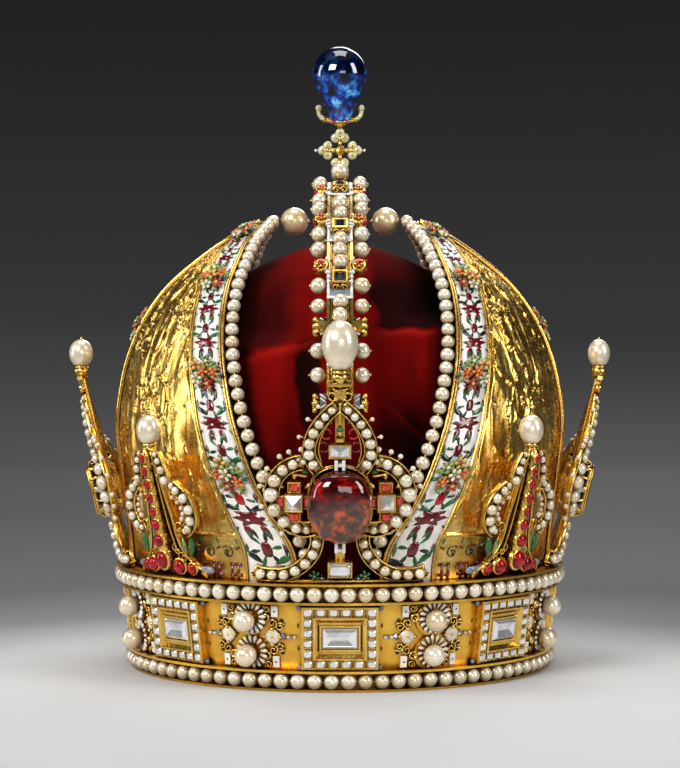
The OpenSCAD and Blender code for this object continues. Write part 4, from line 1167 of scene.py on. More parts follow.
def lily_half(hand, front, gold, pearls, stones, enamels):
    """One side of a large lily: pearl channels, the lobe's cross of stones, flowers and scrolls."""
    lobe = bead_channel(gold, LOBE_ROW, hand, 3.0, before=[(15.3, 52.2)], after=[(10.2, 24.6)])
    bead_channel(gold, FOOT_ROW, hand, 2.6, before=[(36.2, 5.4)], after=[(9.6, 21.5)])
    ogive = bead_channel(gold, OGIVE_ROW, hand, 2.5, before=[(8.6, 48.2)], after=[(1.2, 75.6)])
    finials(gold, enamels, lobe, -hand, 5.4, 8, 2.2, 0.02, 0.72)
    finials(gold, enamels, ogive, hand, 5.0, 4, 1.9, 0.25, 0.8)
    for x, y, d in (*LOBE_ROW, *FOOT_ROW, *OGIVE_ROW):
        pearls.lay("pearl", pearl(d * 0.98, 8, 13), hand * x, y, 0.45 * d)
    pearls.lay("pearl", pearl(2.6, 6, 10), hand * 15.0, 52.4, 1.4)
    boxed_stone(gold, stones, hand * 18.9, 35.2, 6.2, 6.2, "point", "diamond", 3.4)
    for x, y, turn in ((18.9, 41.4, 0), (24.6, 35.2, 90), (13.2, 35.2, 90), (18.9, 29.0, 0)):
        boxed_stone(gold, stones, hand * x, y, 4.2, 3.4, "table", "garnet", 2.0, turn)
    for x, y, turn in ((18.9, 44.2, 0), (14.9, 41.0, 60), (23.0, 41.0, -60), (18.9, 26.8, 180 * hand)):
        gold.lay("gold", pad(drop(3.4, 3.0), 1.2, 3), hand * x, y, 0.3, turn=hand * turn)
    for stem, wide, high in (
        ([(11, 30), (13.5, 33), (15.4, 35)], 1.6, 1.3),
        ([(12.5, 24.5), (16, 26), (18.9, 29)], 1.2, 1.1),
        ([(13.5, 46), (17, 46.6), (20.4, 47.4)], 1.0, 1.0),
    ):
        gold.lay("gold", bar(flat(curve(stem, 6) * [hand, 1]), wide, high, -0.7))
    enamels.lay("green", pad(lens(4.4, 2.0), 0.9, 2), hand * 12.6, 47.2, 0.2, turn=-hand * 70)
    flower(enamels, hand * 10.6, 3.4, 4.4, "green", "leaf", 0.7, 5, 12)
    flower(enamels, hand * 7.6, 2.4, 2.6, "black", "white", 0.5, 4)
    gold.lay("gold", handed(bar(curl(2.9, 1.2, 90, 0.7), 0.6, 1.8, -0.5), hand), hand * 3.1, 80.2)
    enamels.lay("green", pad(lens(2.6, 1.5), 0.7, 2), hand * 3.2, 68.0, 0.4, turn=-hand * 40)
    loop = handed(bar(curl(2.4, 0.9, 200, 0.3), 0.6, 1.0, -0.3), hand)
    enamels.lay("maroon", loop, hand * 6.8, 58.6)
    enamels.lay("red", loop, hand * 5.6, 64.2, turn=30 * hand)
    side_wire = curve([(7.4, 51), (8.8, 57), (7.6, 63.4), (4.6, 68.6)], 12) * [hand, 1]
    gold.lay("gold", bar(flat(side_wire), 0.5, 1.3, -0.5))
    for y in (51.6, 16.6):
        enamels.lay("white", block(1.3, 4.2, 0.2, 4.6 if front else 3.0, 0.3), hand * 1.5, y, even=False)


def lily_spine(gold, stones, enamels):
    """The middle of a large lily, from its foot stone to the neck under the top pearl."""
    boxed_stone(gold, stones, 0, 57.2, 7.6, 4.6, "point", "diamond", 3.4)
    gold.lay("gold", block(3.4, 2.0, -0.7, 2.2, 0.3), 0, 61.6, even=False)
    gold.lay("gold", pad(drop(3.4, 3.4), 1.6, 3), 0, 62.4, 0.6)
    enamels.lay("green", pad(lens(3.6, 3.0), 1.4, 2), 0, 63.8, 0.8)
    gold.lay("gold", block(1.5, 9.5, -0.7, 1.5, 0.4), 0, 72.4, even=False)
    gold.lay("gold", block(4.6, 0.9, 0, 3.4, 0.2), 0, 51.4, even=False)
    for y in (51.6, 15.6):
        enamels.lay("white", block(4.4, 1.3, 0.2, 4.2, 0.3), 0, y, even=False)
    boxed_stone(gold, stones, 0, 6.6, 8.6, 5.4, "table", "diamond", 3.2)
    gold.lay("gold", block(11.0, 1.8, -0.7, 2.0, 0.5), 0, 84.6, even=False)
    gold.lay("gold", block(5.4, 4.4, -0.7, 1.5, 0.5), 0, 80.4, even=False)
    neck = lathe([(0, -2.5), (2.2, -2.5), (2.8, 0), (4.0, 2.2), (0, 2.6)], 12)
    gold.lay("gold", neck, 0, 86.4, -0.6, tip=-90)
    for x, y in ((-1.5, 78.6), (1.5, 78.6), (0, 76.6)):
        gold.lay("gold", ball(1.6, 6, 8), x, y, 1.2)
    spine = flat(curve([(0, 0.5), (0, 24), (0, 48), (0, 76), (0, 87)], 20), -0.5)
    gold.lay("gold", bar(spine, 4.0, 0.4, -0.9))
    gold.lay("gold", bar(flat(np.linspace((-33, 0.8), (33, 0.8), 24)), 1.5, 0.9, -1.1))


def large_lily(front, gold, pearls, stones, enamels):
    for hand in (-1, 1):
        lily_half(hand, front, gold, pearls, stones, enamels)
    lily_spine(gold, stones, enamels)
    if front:
        red_stone_mount(gold)
    else:
        dark_stone_mount(gold)


def oval(w, h, sides=36):
    """Outline between an ellipse and a rectangle."""
    round_points = circle(1, sides)
    return np.sign(round_points) * np.abs(round_points) ** 0.8 * [w / 2, h / 2]


def claw(gold, x, y, steps, *bends):
    """Claw up a stone's side, through bends of (share of its place, height)."""
    path = curve([(x * share, y * share, z) for share, z in bends], steps)
    gold.lay("gold", wire(path, 1.2, 6, up=(-y, x, 0.01)), y=STONE_W)


def red_stone_mount(gold):
    """Open cup with a rim wire and claws round the front stone."""
    w, h = RED_STONE_W, RED_STONE_H
    cup = tier([
        (oval(w + more, h + more), z)
        for more, z in ((-4, -0.9), (0.2, -0.5), (0.8, 1.2), (0.5, 2.0), (0.1, 2.2), (-0.4, 1.8), (-1, 0.4))
    ])
    gold.lay("gold", cup, y=STONE_W)
    gold.lay("gold", wire(flat(oval(w + 1.0, h + 1.0, 44), 0.6), 0.8, 5, loop=True), y=STONE_W)
    for degrees in (40, 140, 220, 320):
        x, y = polar(degrees, w / 2 - 0.5, h / 2 - 0.5)
        claw(gold, x, y, 6, (1.08, 1.5), (1.05, 5), (0.93, 7.6))


def dark_stone_mount(gold):
    """Open collet round the square stone of a side lily: two rims, claws, leaves and beads."""
    w, h = SIDE_STONE_W, SIDE_STONE_H
    low, high = -0.8, SIDE_STONE_T - 0.4
    cut = 0.16 * w
    collar = tier([
        (np.array(eight_corners((w + more) / 2, (h + more) / 2, cut))[:, :2], z)
        for z, more in ((low, 3.0), (1.6, 2.2), (2.6, 2.4), (3.0, 1.2), (2.2, -2.0))
    ])
    gold.lay("gold", collar, y=STONE_W, even=False)
    for z, d in ((high - 1.2, 1.5), (high - 0.2, 0.9)):
        rim = np.array(eight_corners((w + 0.9) / 2, (h + 0.9) / 2, cut, z))
        gold.lay("gold", wire(rim, d, 6, loop=True), y=STONE_W)
    for i in range(8):
        x, y = polar(22.5 + i * 45, 0.56 * w, 0.56 * h)
        claw(gold, x, y, 7, (1.02, 2.2), (1.2, 0.5 * high), (1, high - 0.6))
    leaf = put(pad(lens(5.0, 3.4), 0.8, 2), y=-1, tip=78)
    for i in range(8):
        x, y = np.sign(np.round(polar(i * 45, 1, 1), 3)) * [w / 2 + 1.0, h / 2 + 1.0]
        if abs(x) > 1 and abs(y) > 1:
            x, y = 0.86 * x, 0.86 * y
        gold.lay("gold", leaf, x, STONE_W + y, 2.2, math.degrees(math.atan2(y, x)) - 90)
    for i in range(12):
        x, y = polar(i * 30 + 15, w / 2 + 3.4, h / 2 + 3.4)
        gold.lay("gold", ball(1.7, 5, 8), x, STONE_W + y, 0.9)


# Small lilies
WING_ROW = [
    (12.2, 40.4, 3.0), (14.6, 38.6, 3.9), (18.0, 35.4, 4.4), (19.9, 30.6, 4.6),
    (19.6, 25.8, 4.4), (17.2, 22.2, 3.8), (14.8, 20.8, 2.8),
]
NECK_ROW = [(5.4, 53.6, 2.4), (6.8, 51.0, 3.2), (8.0, 47.2, 3.9), (9.0, 42.8, 4.1)]
RUBY_COLUMN = [
    (52.4, 3.2, 4.2), (46.8, 3.7, 4.8), (41.0, 4.0, 4.5), (35.2, 4.3, 4.6),
    (29.4, 4.6, 4.6), (23.4, 5.4, 5.0), (16.6, 6.2, 5.8),
]
SMALL_OUTLINE = np.array([
    (2.2, 56.6), (3.4, 52), (4.6, 44), (6.4, 34), (8.0, 26),
    (8.8, 18), (11.5, 11), (17, 5.5), (21.5, 3.2), (21.5, 0.2),
])


def small_lily(gold, pearls, stones, enamels):
    """Solid gold leaf with a column of rubies, two rows of pearls a side and leaves at its foot."""
    edge = np.vstack([SMALL_OUTLINE, SMALL_OUTLINE[::-1] * [-1, 1]])
    gold.lay("gold", tier([(edge, -LILY_T), (edge, -0.2), (edge * [0.94, 1.0], 0.1)]), even=False)
    for hand in (1, -1):
        gold.lay("gold", bar(flat(curve(SMALL_OUTLINE * [hand, 1], 30)), 0.9, 1.3, -0.6))
    ridge = np.column_stack([np.zeros(14), np.linspace(9, 56, 14), np.zeros(14)])
    gold.lay("gold", bar(ridge, 4.0, 3.0, -0.6, widths=np.linspace(1.5, 1.0, 14)))
    for hand in (-1, 1):
        rib = curve([(2.9, 55), (3.9, 40), (5.6, 22), (8.6, 9)], 16) * [hand, 1]
        gold.lay("gold", bar(flat(rib), 0.7, 1.6, -0.4))
        wing = bead_channel(gold, WING_ROW, hand, 2.6)
        finials(gold, enamels, wing, hand, 5.0, 6, 2.0, 0.12, 0.95)
        neck = bead_channel(gold, NECK_ROW, hand, 2.3)
        finials(gold, enamels, neck, hand, 4.4, 2, 1.3, 0.3, 0.8)
        outer = offset(wing, hand * 2.9)
        for k, turn in ((0, 150), (-1, 30)):
            tail = curl(2.6, 0.95, turn, 0.6)
            tail = (tail - tail[0]) * [hand, 1, 1] + [*outer[k], 0]
            gold.lay("gold", bar(tail, 0.6, 1.5, -0.4))
        for x, y, d in (*WING_ROW, *NECK_ROW):
            pearls.lay("pearl", pearl(d, 7, 12), hand * x, y, 0.45 * d)
        round_stone(gold, stones, hand * 8.8, 5.4, 6.8, 6.4, 3.0)
        round_stone(gold, stones, hand * 15.2, 4.4, 4.8, 5.0, 2.2)
        enamels.lay("green", pad(lens(10, 3.2, 12), 1.0, 3), hand * 15.0, 9.0, 0.3, -hand * 10)
        enamels.lay("leaf", pad(lens(8, 2.4, 12), 0.8, 3), hand * 12.2, 9.4, 0.3, hand * 6)
        enamels.lay("blue_grey", pad(drop(9, 4.4, 12), 1.0, 3), hand * 16.6, 4.6, 0.3, -hand * 96)
        for i in range(4):
            scroll = bar(curl(1.8, 1.1, 60 + 40 * i, 0.6) * [hand, 1, 1], 0.45, 1.1, -0.3)
            gold.lay("gold", scroll, hand * (6.5 + 1.5 * i), 13 - 1.4 * i, 0.3)
    for y, w, h in RUBY_COLUMN:
        round_stone(gold, stones, 0, y, w, h, 4.2)
    round_stone(gold, stones, 0, 8.2, 7.6, 8.0, 4.6)
    neck = lathe([(0, -2.5), (1.6, -2.5), (2.0, 0), (2.8, 1.8), (0, 2.2)], 12)
    gold.lay("gold", neck, 0, 54.8, -0.6, tip=-90)


def lilies():
    pearls = Piece("lily_bead_pearls")
    stones = Piece("lily_small_stones")
    enamels = Piece("lily_enamels")
    for name, az in PLACES.items():
        gold = Piece(f"lily_{name}_goldwork")
        stand(on_lily(az), gold, pearls, stones, enamels)
        if "_" in name:
            small_lily(gold, pearls, stones, enamels)
        else:
            large_lily(name == "front", gold, pearls, stones, enamels)
        gold.finish("gold", f"lily_{name}")
    pearls.finish("pearl")
    stones.finish("clear_stone")
    enamels.finish("enamel")


def tip_pearls():
    """Large pearls on the lilies' tips, each on a gold cap; all but the front one end in a gold bead."""
    caps = Piece("lily_pearl_caps")
    for name, az in PLACES.items():
        high = SMALL_LILY_H if "_" in name else LARGE_LILY_H
        w, h = (FRONT_PEARL_W, FRONT_PEARL_H) if name == "front" else (LILY_PEARL_W, LILY_PEARL_H)
        a = np.linspace(-np.pi / 2, np.pi / 2, 17)
        upper = 0.13 if name == "front" else 0.03
        outline = np.stack([
            w / 2 * np.cos(a) * (1 + upper * np.sin(a)) * (1 + 0.05 * np.cos(2 * a) * (name == "front")),
            h / 2 * (1 + np.sin(a)),
        ], -1)
        outline[0, 0] = outline[-1, 0] = 0
        points, faces = lathe(outline, 24)
        points = points * [1, 1 + chance.uniform(-0.04, 0.04), 1]
        dent = np.exp(-((points[:, 2] - 0.62 * h) / (0.16 * h)) ** 2) * np.clip(-points[:, 1] * 2 / w, 0, 1)
        points[:, 0] *= 1 - 0.03 * dent
        far = plate_r(high) - LILY_T / 2
        place = np.array([0, -far, LILY_Z + high + FIT])
        piece = Piece(f"lily_{name}_round_pearl")
        stand(lambda p: spin(p + place, az), piece, caps)
        piece.lay("pearl", (points, faces))
        piece.finish("pearl", f"lily_pearl_{name}")
        caps.lay("gold", lathe([
            (0, -0.9), (0.12 * w + 1.3, -0.9), (0.12 * w + 1.9, 0.0),
            (0.2 * w + 1.0, 0.9), (0.1 * w, 0.5), (0, 0.4),
        ], 12))
        if name != "front":
            caps.lay("gold", ball(1.3, 5, 8), z=h + 0.3)
    caps.finish("gold")


def large_stones():
    """The red stone of the front lily and the dark square stones of the others."""
    a = np.arange(32) * 2 * np.pi / 32
    bumps = 1 + 0.03 * np.sin(2 * a + 0.7) + 0.02 * np.sin(3 * a)
    outlines = []
    for share, z in (
        (0.84, 0.0), (0.96, 0.12), (1, 0.26), (1, 0.44), (0.97, 0.58),
        (0.88, 0.74), (0.72, 0.87), (0.5, 0.95), (0.25, 0.985),
    ):
        line = oval(RED_STONE_W, RED_STONE_H, 32) * 0.95 * share
        line = line * np.stack([bumps, np.roll(bumps, -10)], -1)
        outlines.append((line, RED_STONE_T * 0.95 * z + STONE_LIFT))
    piece = Piece("front_stone_polished")
    piece.where = on_lily(PLACES["front"])
    piece.lay("red_stone", tier(outlines), y=STONE_W)
    piece.finish("red_stone", "front_red_stone")
    for name in ("right", "back", "left"):
        piece = Piece(f"lily_{name}_stone")
        piece.where = on_lily(PLACES[name])
        shape = gem(SIDE_STONE_W, SIDE_STONE_H, 0.5 * SIDE_STONE_T, 0.45 * SIDE_STONE_T)
        lift = STONE_LIFT + 0.45 * SIDE_STONE_T
        piece.lay("dark_stone", shape, y=STONE_W, z=lift, even=False)
        piece.finish("dark_stone", f"lily_diamond_{name}")


# Relief and pearls of the mitre shells
def stamp_leaf(height, x, y, place, angle, length, width, rise):
    """Raises a ribbed leaf on a height field; x and y are the field's own places."""
    c, s = math.cos(angle), math.sin(angle)
    dx, dy = x - place[0], y - place[1]
    near = (dx * dx + dy * dy) < (1.2 * length) ** 2
    along = (dx[near] * c + dy[near] * s) / length
    bend = 0.22 * length * np.sin(np.pi * np.clip(along, 0, 1))
    across = (dy[near] * c - dx[near] * s - bend) / width
    wide = np.sin(np.pi * np.clip(along, 0, 1) ** 0.7) * (0.72 + 0.28 * np.cos(along * 22))
    inside = (along > 0) & (along < 1) & (np.abs(across) < wide)
    share = np.where(inside, np.abs(across) / np.maximum(wide, 1e-6), 1)
    rib = 0.3 * np.exp(-((across / 0.16) ** 2)) + 0.16 * np.cos(18 * (along - 0.5 * np.abs(across)))
    value = np.where(inside, rise * (1 - share ** 2.2) * (0.8 + rib), 0)
    height[near] = np.maximum(height[near], value)


def stamp_stem(height, x, y, path, width, rise):
    """Raises a round stem along a path."""
    low, high = path.min(0) - width, path.max(0) + width
    near = (x > low[0]) & (x < high[0]) & (y > low[1]) & (y < high[1])
    px, py = x[near], y[near]
    best = np.full(px.shape, 1e9)
    for i in range(len(path)):
        best = np.minimum(best, (px - path[i, 0]) ** 2 + (py - path[i, 1]) ** 2)
    share = np.sqrt(best) / width
    value = np.where(share < 1, rise * np.sqrt(np.clip(1 - share ** 2, 0, 1)), 0)
    height[near] = np.maximum(height[near], value)


def stamp_rosette(height, x, y, place, r, rise, petals):
    """Raises a flower with a round heart."""
    dx, dy = x - place[0], y - place[1]
    far = np.hypot(dx, dy) / r
    a = np.arctan2(dy, dx)
    edge = 0.72 + 0.28 * np.abs(np.cos(petals * a / 2))
    value = rise * (0.75 - 0.35 * np.cos(petals * a)) * np.sqrt(np.clip(1 - (far / edge) ** 2, 0, 1))
    value = np.where(far < edge, value, 0)
    heart = np.where(far < 0.26, rise * 1.15 * np.sqrt(np.clip(1 - (far / 0.26) ** 2, 0, 1)), 0)
    np.maximum(height, np.maximum(value, heart), out=height)


def ridges(x, y, across, along, pick):
    """Wandering ridges, 0 to 1, that run up the field; across and along are their usual sizes."""
    fx = (x - x.min()) / across
    fy = (y - y.min()) / along
    table = pick.uniform(0, 1, (int(fy.max()) + 2, int(fx.max()) + 2))
    i, j = fy.astype(int), fx.astype(int)
    a, b = fy - i, fx - j
    a, b = soft_step(a), soft_step(b)
    low = table[i, j] * (1 - b) + table[i, j + 1] * b
    high = table[i + 1, j] * (1 - b) + table[i + 1, j + 1] * b
    return 1 - np.abs(2 * (low * (1 - a) + high * a) - 1)


SCROLL_FOOT = 44
SCROLL_PITCH = 36
SCROLL_TURNS = 1.35
LOOSE_LEAVES_PER_MM = 0.6
RELIEF_TOP = 1.9
STRAP_Z = 24.2


def foliage(x, y, wide, tall, seed):
    """Height field of leaves and rosettes over long folds of drapery."""
    pick = np.random.default_rng(seed)
    sway = x + 3.4 * np.sin(y / 24 + seed) + 0.9 * np.sin(y / 8.3)
    broad = ridges(sway, y, 7.5, 62, pick) ** 1.6
    narrow = ridges(sway + 0.15 * y, y, 3.1, 36, pick) ** 2
    height = 0.95 * broad + 0.6 * narrow + 0.16 * ridges(sway, y, 1.3, 9, pick) - 0.1
    for n, level in enumerate(np.arange(SCROLL_FOOT, tall - 12, SCROLL_PITCH)):
        hand = 1 if (n + seed) % 2 == 0 else -1
        half = 0.5 * float(wide(np.array([level]))[0])
        if half < 6:
            continue
        middle = np.array([-hand * 0.4 * half, level + 2.0])
        r = min(0.42 * half, 10.0)
        t = np.linspace(0, 1, 60)
        a = math.pi * (0.5 - 0.5 * hand) + hand * 2 * math.pi * SCROLL_TURNS * t
        reach = r * (1 - 0.78 * t)
        spiral = middle + np.stack([reach * np.cos(a), 1.35 * reach * np.sin(a)], -1)
        stamp_stem(height, x, y, spiral, 0.8, 1.45)
        for k in range(11):
            i = int(2 + k * 4.6)
            outward = a[i] + hand * 0.7
            stamp_leaf(height, x, y, spiral[i], outward, 0.7 * r * pick.uniform(0.7, 1.2), 0.17 * r, 1.75)
        stamp_rosette(height, x, y, middle, 0.28 * r, 1.8, 6)
        spot = np.array([hand * 0.5 * half, level + 6])
        for turn in np.linspace(-1.1, 1.1, 7):
            stamp_leaf(height, x, y, spot, math.pi / 2 + turn, 13 - 3.5 * abs(turn), 1.7, 1.7)
        stamp_rosette(height, x, y, spot, 2.2, 1.9, 5)
    for k in range(int(tall * LOOSE_LEAVES_PER_MM)):
        level = pick.uniform(28, tall - 8)
        half = 0.5 * float(wide(np.array([level]))[0])
        spot = np.array([pick.uniform(-0.95, 0.95) * half, level])
        angle = math.pi / 2 + pick.normal(0, 0.25)
        length, width, rise = (pick.uniform(low, high) for low, high in ((9, 22), (0.7, 1.4), (1.2, 1.7)))
        stamp_leaf(height, x, y, spot, angle, length, width, rise)
    return np.clip(height, 0, RELIEF_TOP)


# The edge moulding's height, at shares of its width
MOULDING = [
    (0.0, 0.55), (0.08, 1.0), (0.34, 1.0), (0.42, 0.5), (0.5, 0.5), (0.58, 1.0), (0.86, 1.0), (1.0, 0.35),
]


def shell_columns(u, field_steps):
    """Angle and height of each station from the middle of the shell to one edge, at share u."""
    k = float(band_share(np.array(u)))
    girth = float(half_girth(np.array(u)))
    step = 0.12 * k
    edge = float(shell_size(np.array(u))[2])
    side = girth - (SIDE_BED_W + THIN_RAIL_W) * k
    bed_end = (RAIL_W + float(bed_at(u))) * k
    field = bed_end + THIN_RAIL_W * k + step
    def from_edge(s):
        return float(shell_turn(np.array(u), s))
    def share(s):
        return edge * (1 - s / girth)
    rail = RAIL_W * k
    thin = THIN_RAIL_W * k
    stations = [
        (0.0, 0.0, -1),
        (share(side + thin + step), 0.0, -1),
        (share(side + thin), RAIL_H, -1),
        (share(side + 0.5 * thin), 1.15 * RAIL_H, -1),
        (share(side + step), RAIL_H, -1),
    ]
    stations += [(share(field + (side - field) * f), 0.2, f) for f in np.linspace(1, 0, field_steps)]
    stations += [
        (from_edge(field - step), RAIL_H, -1),
        (from_edge(bed_end + 0.5 * thin), 1.15 * RAIL_H, -1),
        (from_edge(bed_end + step), RAIL_H, -1),
        (from_edge(bed_end), 0.0, -1),
        (from_edge(rail + step), 0.0, -1),
    ]
    stations += [(from_edge(rail * (1 - f)), RAIL_H * h * 1.08, -1) for f, h in MOULDING]
    return stations


RELIEF_ROWS = 311
RELIEF_STEPS = 134
# The shell's inner face has every fifth point of its outer one
RELIEF_THIN = 5
# Places of the raised flowers on an edge's band, as shares of its length
CLUSTER_SHARES = (0.27, 0.50, 0.75, 0.95)
SIDE_CLUSTER_SHARES = (0.62,)


def mitre(hand):
    """One shell: cast relief between mouldings, hollow behind, closed at its rim."""
    rows = RELIEF_ROWS
    us = np.linspace(0, 1, rows)
    taken = SIDE_BED_W + EDGE_BAND_W - BED_W + bed_at(us) + THIN_RAIL_W
    width = half_girth(us) - taken * band_share(us)
    line = shell_point(us, 0.5 * shell_size(us)[2])
    up = np.concatenate([[0], np.cumsum(np.linalg.norm(np.diff(line, axis=0), axis=1))])
    halves, turns = [], []
    for steps, seed in ((RELIEF_STEPS, 11), (RELIEF_STEPS // 2, 23)):
        table = np.array([shell_columns(u, steps) for u in us])
        t, h, f = table[..., 0], table[..., 1], table[..., 2]
        y = np.repeat(up[:, None], f.shape[1], 1)
        x = (f - 0.5) * width[:, None]
        inside = f >= 0
        ease = np.clip(f * width[:, None] / 1.2, 0, 1) * soft_step((1 - f) * width[:, None] / 11)
        relief = foliage(x, y, lambda level: np.interp(level, up, width), up[-1], seed)
        foot = np.clip(y - STRAP_Z - 0.8, 0, 1)
        strap = np.clip(1 - np.abs(y - STRAP_Z) / 1.3, 0, 1) * 1.4
        relief = relief * foot + np.maximum(strap, 0.3 * (1 - foot))
        halves.append(np.where(inside, 0.1 + relief * ease, h))
        turns.append(t)
    t_all = np.concatenate([-turns[0][:, :0:-1], turns[1]], 1)
    h_all = np.concatenate([halves[0][:, :0:-1], halves[1]], 1)
    cols = t_all.shape[1]
    outer = raised(us[:, None], t_all, h_all)
    pick_rows = np.arange(0, rows, RELIEF_THIN)
    pick_cols = np.arange(0, cols, RELIEF_THIN)
    level = np.full((len(pick_rows), len(pick_cols)), -MITRE_WALL)
    inner = raised(us[pick_rows][:, None], t_all[pick_rows][:, pick_cols], level)
    points = np.vstack([outer.reshape(-1, 3), inner.reshape(-1, 3)]) * [hand, 1, 1]
    count = rows * cols
    def deep(i, j):
        return count + i * len(pick_cols) + j
    faces = [grid(rows, cols), grid(len(pick_rows), len(pick_cols))[:, ::-1] + count]
    rims = []
    for i in range(len(pick_rows) - 1):
        along = np.arange(pick_rows[i], pick_rows[i + 1] + 1) * cols
        rims.append([*along[::-1], deep(i, 0), deep(i + 1, 0)])
        rims.append([*(along + cols - 1), deep(i + 1, len(pick_cols) - 1), deep(i, len(pick_cols) - 1)])
    for j in range(len(pick_cols) - 1):
        along = np.arange(pick_cols[j], pick_cols[j + 1] + 1)
        rims.append([*along, deep(0, j + 1), deep(0, j)])
        top = along[::-1] + (rows - 1) * cols
        rims.append([*top, deep(len(pick_rows) - 1, j), deep(len(pick_rows) - 1, j + 1)])
    faces.append(np.array(rims))
    return points, faces


def string_place(v):
    """Middle of the right shell's pearl string, v from 0 at its front foot to 1 at its back one."""
    side = np.sign(2 * v - 1)
    u = 1 - np.abs(2 * v - 1) ** 1.2 * 0.94
    free = FIT * (4 + 2 * u ** 12)
    lower, upper = np.maximum(u - 0.01, 0), np.minimum(u + 0.01, 1)
    edge = shell_size(u)[2]
    way = unit(shell_point(upper, shell_size(upper)[2]) - shell_point(lower, shell_size(lower)[2]))
    across = shell_point(u, edge) - shell_point(u, shell_turn(u, RAIL_W))
    out = unit(across - (across * way).sum(-1, keepdims=True) * way)
    p = shell_point(u, edge) + out * (EDGE_PEARL_D / 2 + free)[..., None]
    return np.stack([p[..., 0], side * np.maximum(p[..., 1], 0), p[..., 2]], -1)


STRING_STEPS = 1201
STRING_GAP = 0.25


def pearl_strings():
    """Pearls along the shells' edges and the large ones at their tips."""
    path = string_place(np.linspace(0, 1, STRING_STEPS))
    way = np.concatenate([[0], np.cumsum(np.linalg.norm(np.diff(path, axis=0), axis=1))])
    count = int(way[-1] / (EDGE_PEARL_D + STRING_GAP))
    tip = string_place(np.array(0.5))
    tip = [tip[0] - EDGE_PEARL_D / 2 - TIP_PEARL_D / 2 - FIT, 0, tip[2]]
    for hand, name in ((1, "right"), (-1, "left")):
        string = Piece(f"mitre_{name}_string")
        wires = Piece(f"mitre_{name}_string_wire")
        large = Piece(f"mitre_{name}_tip_round_pearl")
        stand(lambda p: p * [hand, 1, 1], string, wires, large)
        for i in range(count):
            place = [np.interp((i + 0.5) * way[-1] / count, way, path[:, k]) for k in range(3)]
            string.lay("pearl", pearl(EDGE_PEARL_D * chance.uniform(0.95, 1.02), 8, 12), *place)
        string.finish("pearl", f"mitre_pearls_{name}")
        wires.lay("gold", wire(path[::8], 1.1, 5))
        pin = lathe([(0, -1), (0.9, -1), (0.9, 0.3), (0.5, 0.9), (0, 1)], 10)
        wires.lay("gold", pin, tip[0] - TIP_PEARL_D / 2, 0, tip[2], roll=-90)
        wires.finish("gold")
        large.lay("warm_pearl", ball(TIP_PEARL_D, 18, 28), *tip)
        large.finish("pearl", f"mitre_tip_pearl_{name}")


def mitres():
    """Both shells, with a round moulding on each side of the side bands."""
    us = np.linspace(0.02, 0.985, 60)
    for hand, name in ((1, "right"), (-1, "left")):
        tubes = Piece(f"mitre_{name}_side_mouldings")
        for side in (-1, 1):
            away = (SIDE_BED_W + THIN_RAIL_W / 2) * band_share(us) / half_girth(us) * shell_size(us)[2]
            path = raised(us, side * away, np.full(60, 1.3)) * [hand, 1, 1]
            tubes.lay("gold", wire(path, 2.7, 10, up=(0, 1, 0)))
        tubes.finish("gold")
        relief = Piece(f"mitre_{name}_relief")
        relief.lay("relief_gold", mitre(hand))
        relief.finish("gold", f"mitre_{name}")


# Enamel bands on the shells, placed by x from -1 to 1 across the band and y up it in millimetres
def enamel_sheet(length):
    """Thin sheet along a band, its top at z = 0."""
    steps = 48
    across = np.linspace(-0.97, 0.97, 7)
    section = np.concatenate([
        np.stack([across, 0 * across], -1), np.stack([across[::-1], 0 * across - ENAMEL_T], -1),
    ])
    count = len(section)
    points = np.concatenate([
        np.column_stack([section[:, 0], np.full(count, y), section[:, 1]])
        for y in np.linspace(3, length, steps)
    ])
    return points, skin(steps, count)


def enamel_unit(piece, y, wide, kind, size):
    """One repeat of the bands' flowers and scrolls; wide is the band's half width there."""
    def lay(shape, paint_name, x, up, turn=0.0):
        points, faces = put(shape, x * wide, 0, 0, turn)
        points = points * [1 / wide, 1, 1] + [0, y + up * size, 0]
        piece.lay(paint_name, (points, faces))
    hand = 1 if kind % 2 else -1
    s = size
    for turn, length in ((90, 1.86 * wide), (90 + 28 * hand, 1.6 * wide), (90 - 36 * hand, 1.4 * wide)):
        lay(put(pad(lens(length, 3.3 * s, 10), 0.3, 2), y=-length / 2), "maroon", 0, 0, turn)
    for x, up in ((-0.5, 0.7), (0.12, -0.6), (0.5, 0.9)):
        lay(pad(oval(1.3 * s, 0.9 * s, 8), 0.5, 2), "white", x * hand, up)
    dark = ("black", "green")
    for side in (-1, 1):
        for x, up, length, turn in (
            (0.26, 2.6, 5.0, 62), (0.84, 4.6, 3.0, 12), (0.86, 8.2, 2.8, 165),
            (0.14, 9.4, 3.4, 24), (0.8, 13.2, 2.6, 120),
        ):
            leaf = pad(drop(length * s, 0.54 * length * s, 8), 0.3, 2)
            turn = turn + chance.uniform(-14, 14)
            lay(leaf, dark[int(chance.integers(2))], side * x, up + chance.uniform(-0.3, 0.3), -side * turn)
        lean = side * (16 + chance.uniform(-8, 8))
        lay(pad(drop(4.8 * s, 3.3 * s, 10), 0.3, 2), "maroon", side * 0.5, 8.9, lean)
        lay(pad(drop(3.2 * s, 2.0 * s, 10), 0.45, 2), "green", side * 0.5, 9.1, lean)
        lay(pad(circle(0.7 * s, 6), 0.3, 2), "red", side * 0.9, 6.9)
    for i in range(6):
        petal = put(pad(drop(3.1 * s, 1.7 * s, 8), 0.28, 2), y=1.7 * s)
        lay(petal, dark[i % 2], 0, 6.4, 30 + 60 * i + 10 * hand)
    lay(pad(oval(3.2 * s, 4.4 * s, 10), 0.4, 2), "maroon" if kind % 3 - 1 else "red", 0.03 * hand, 6.4)


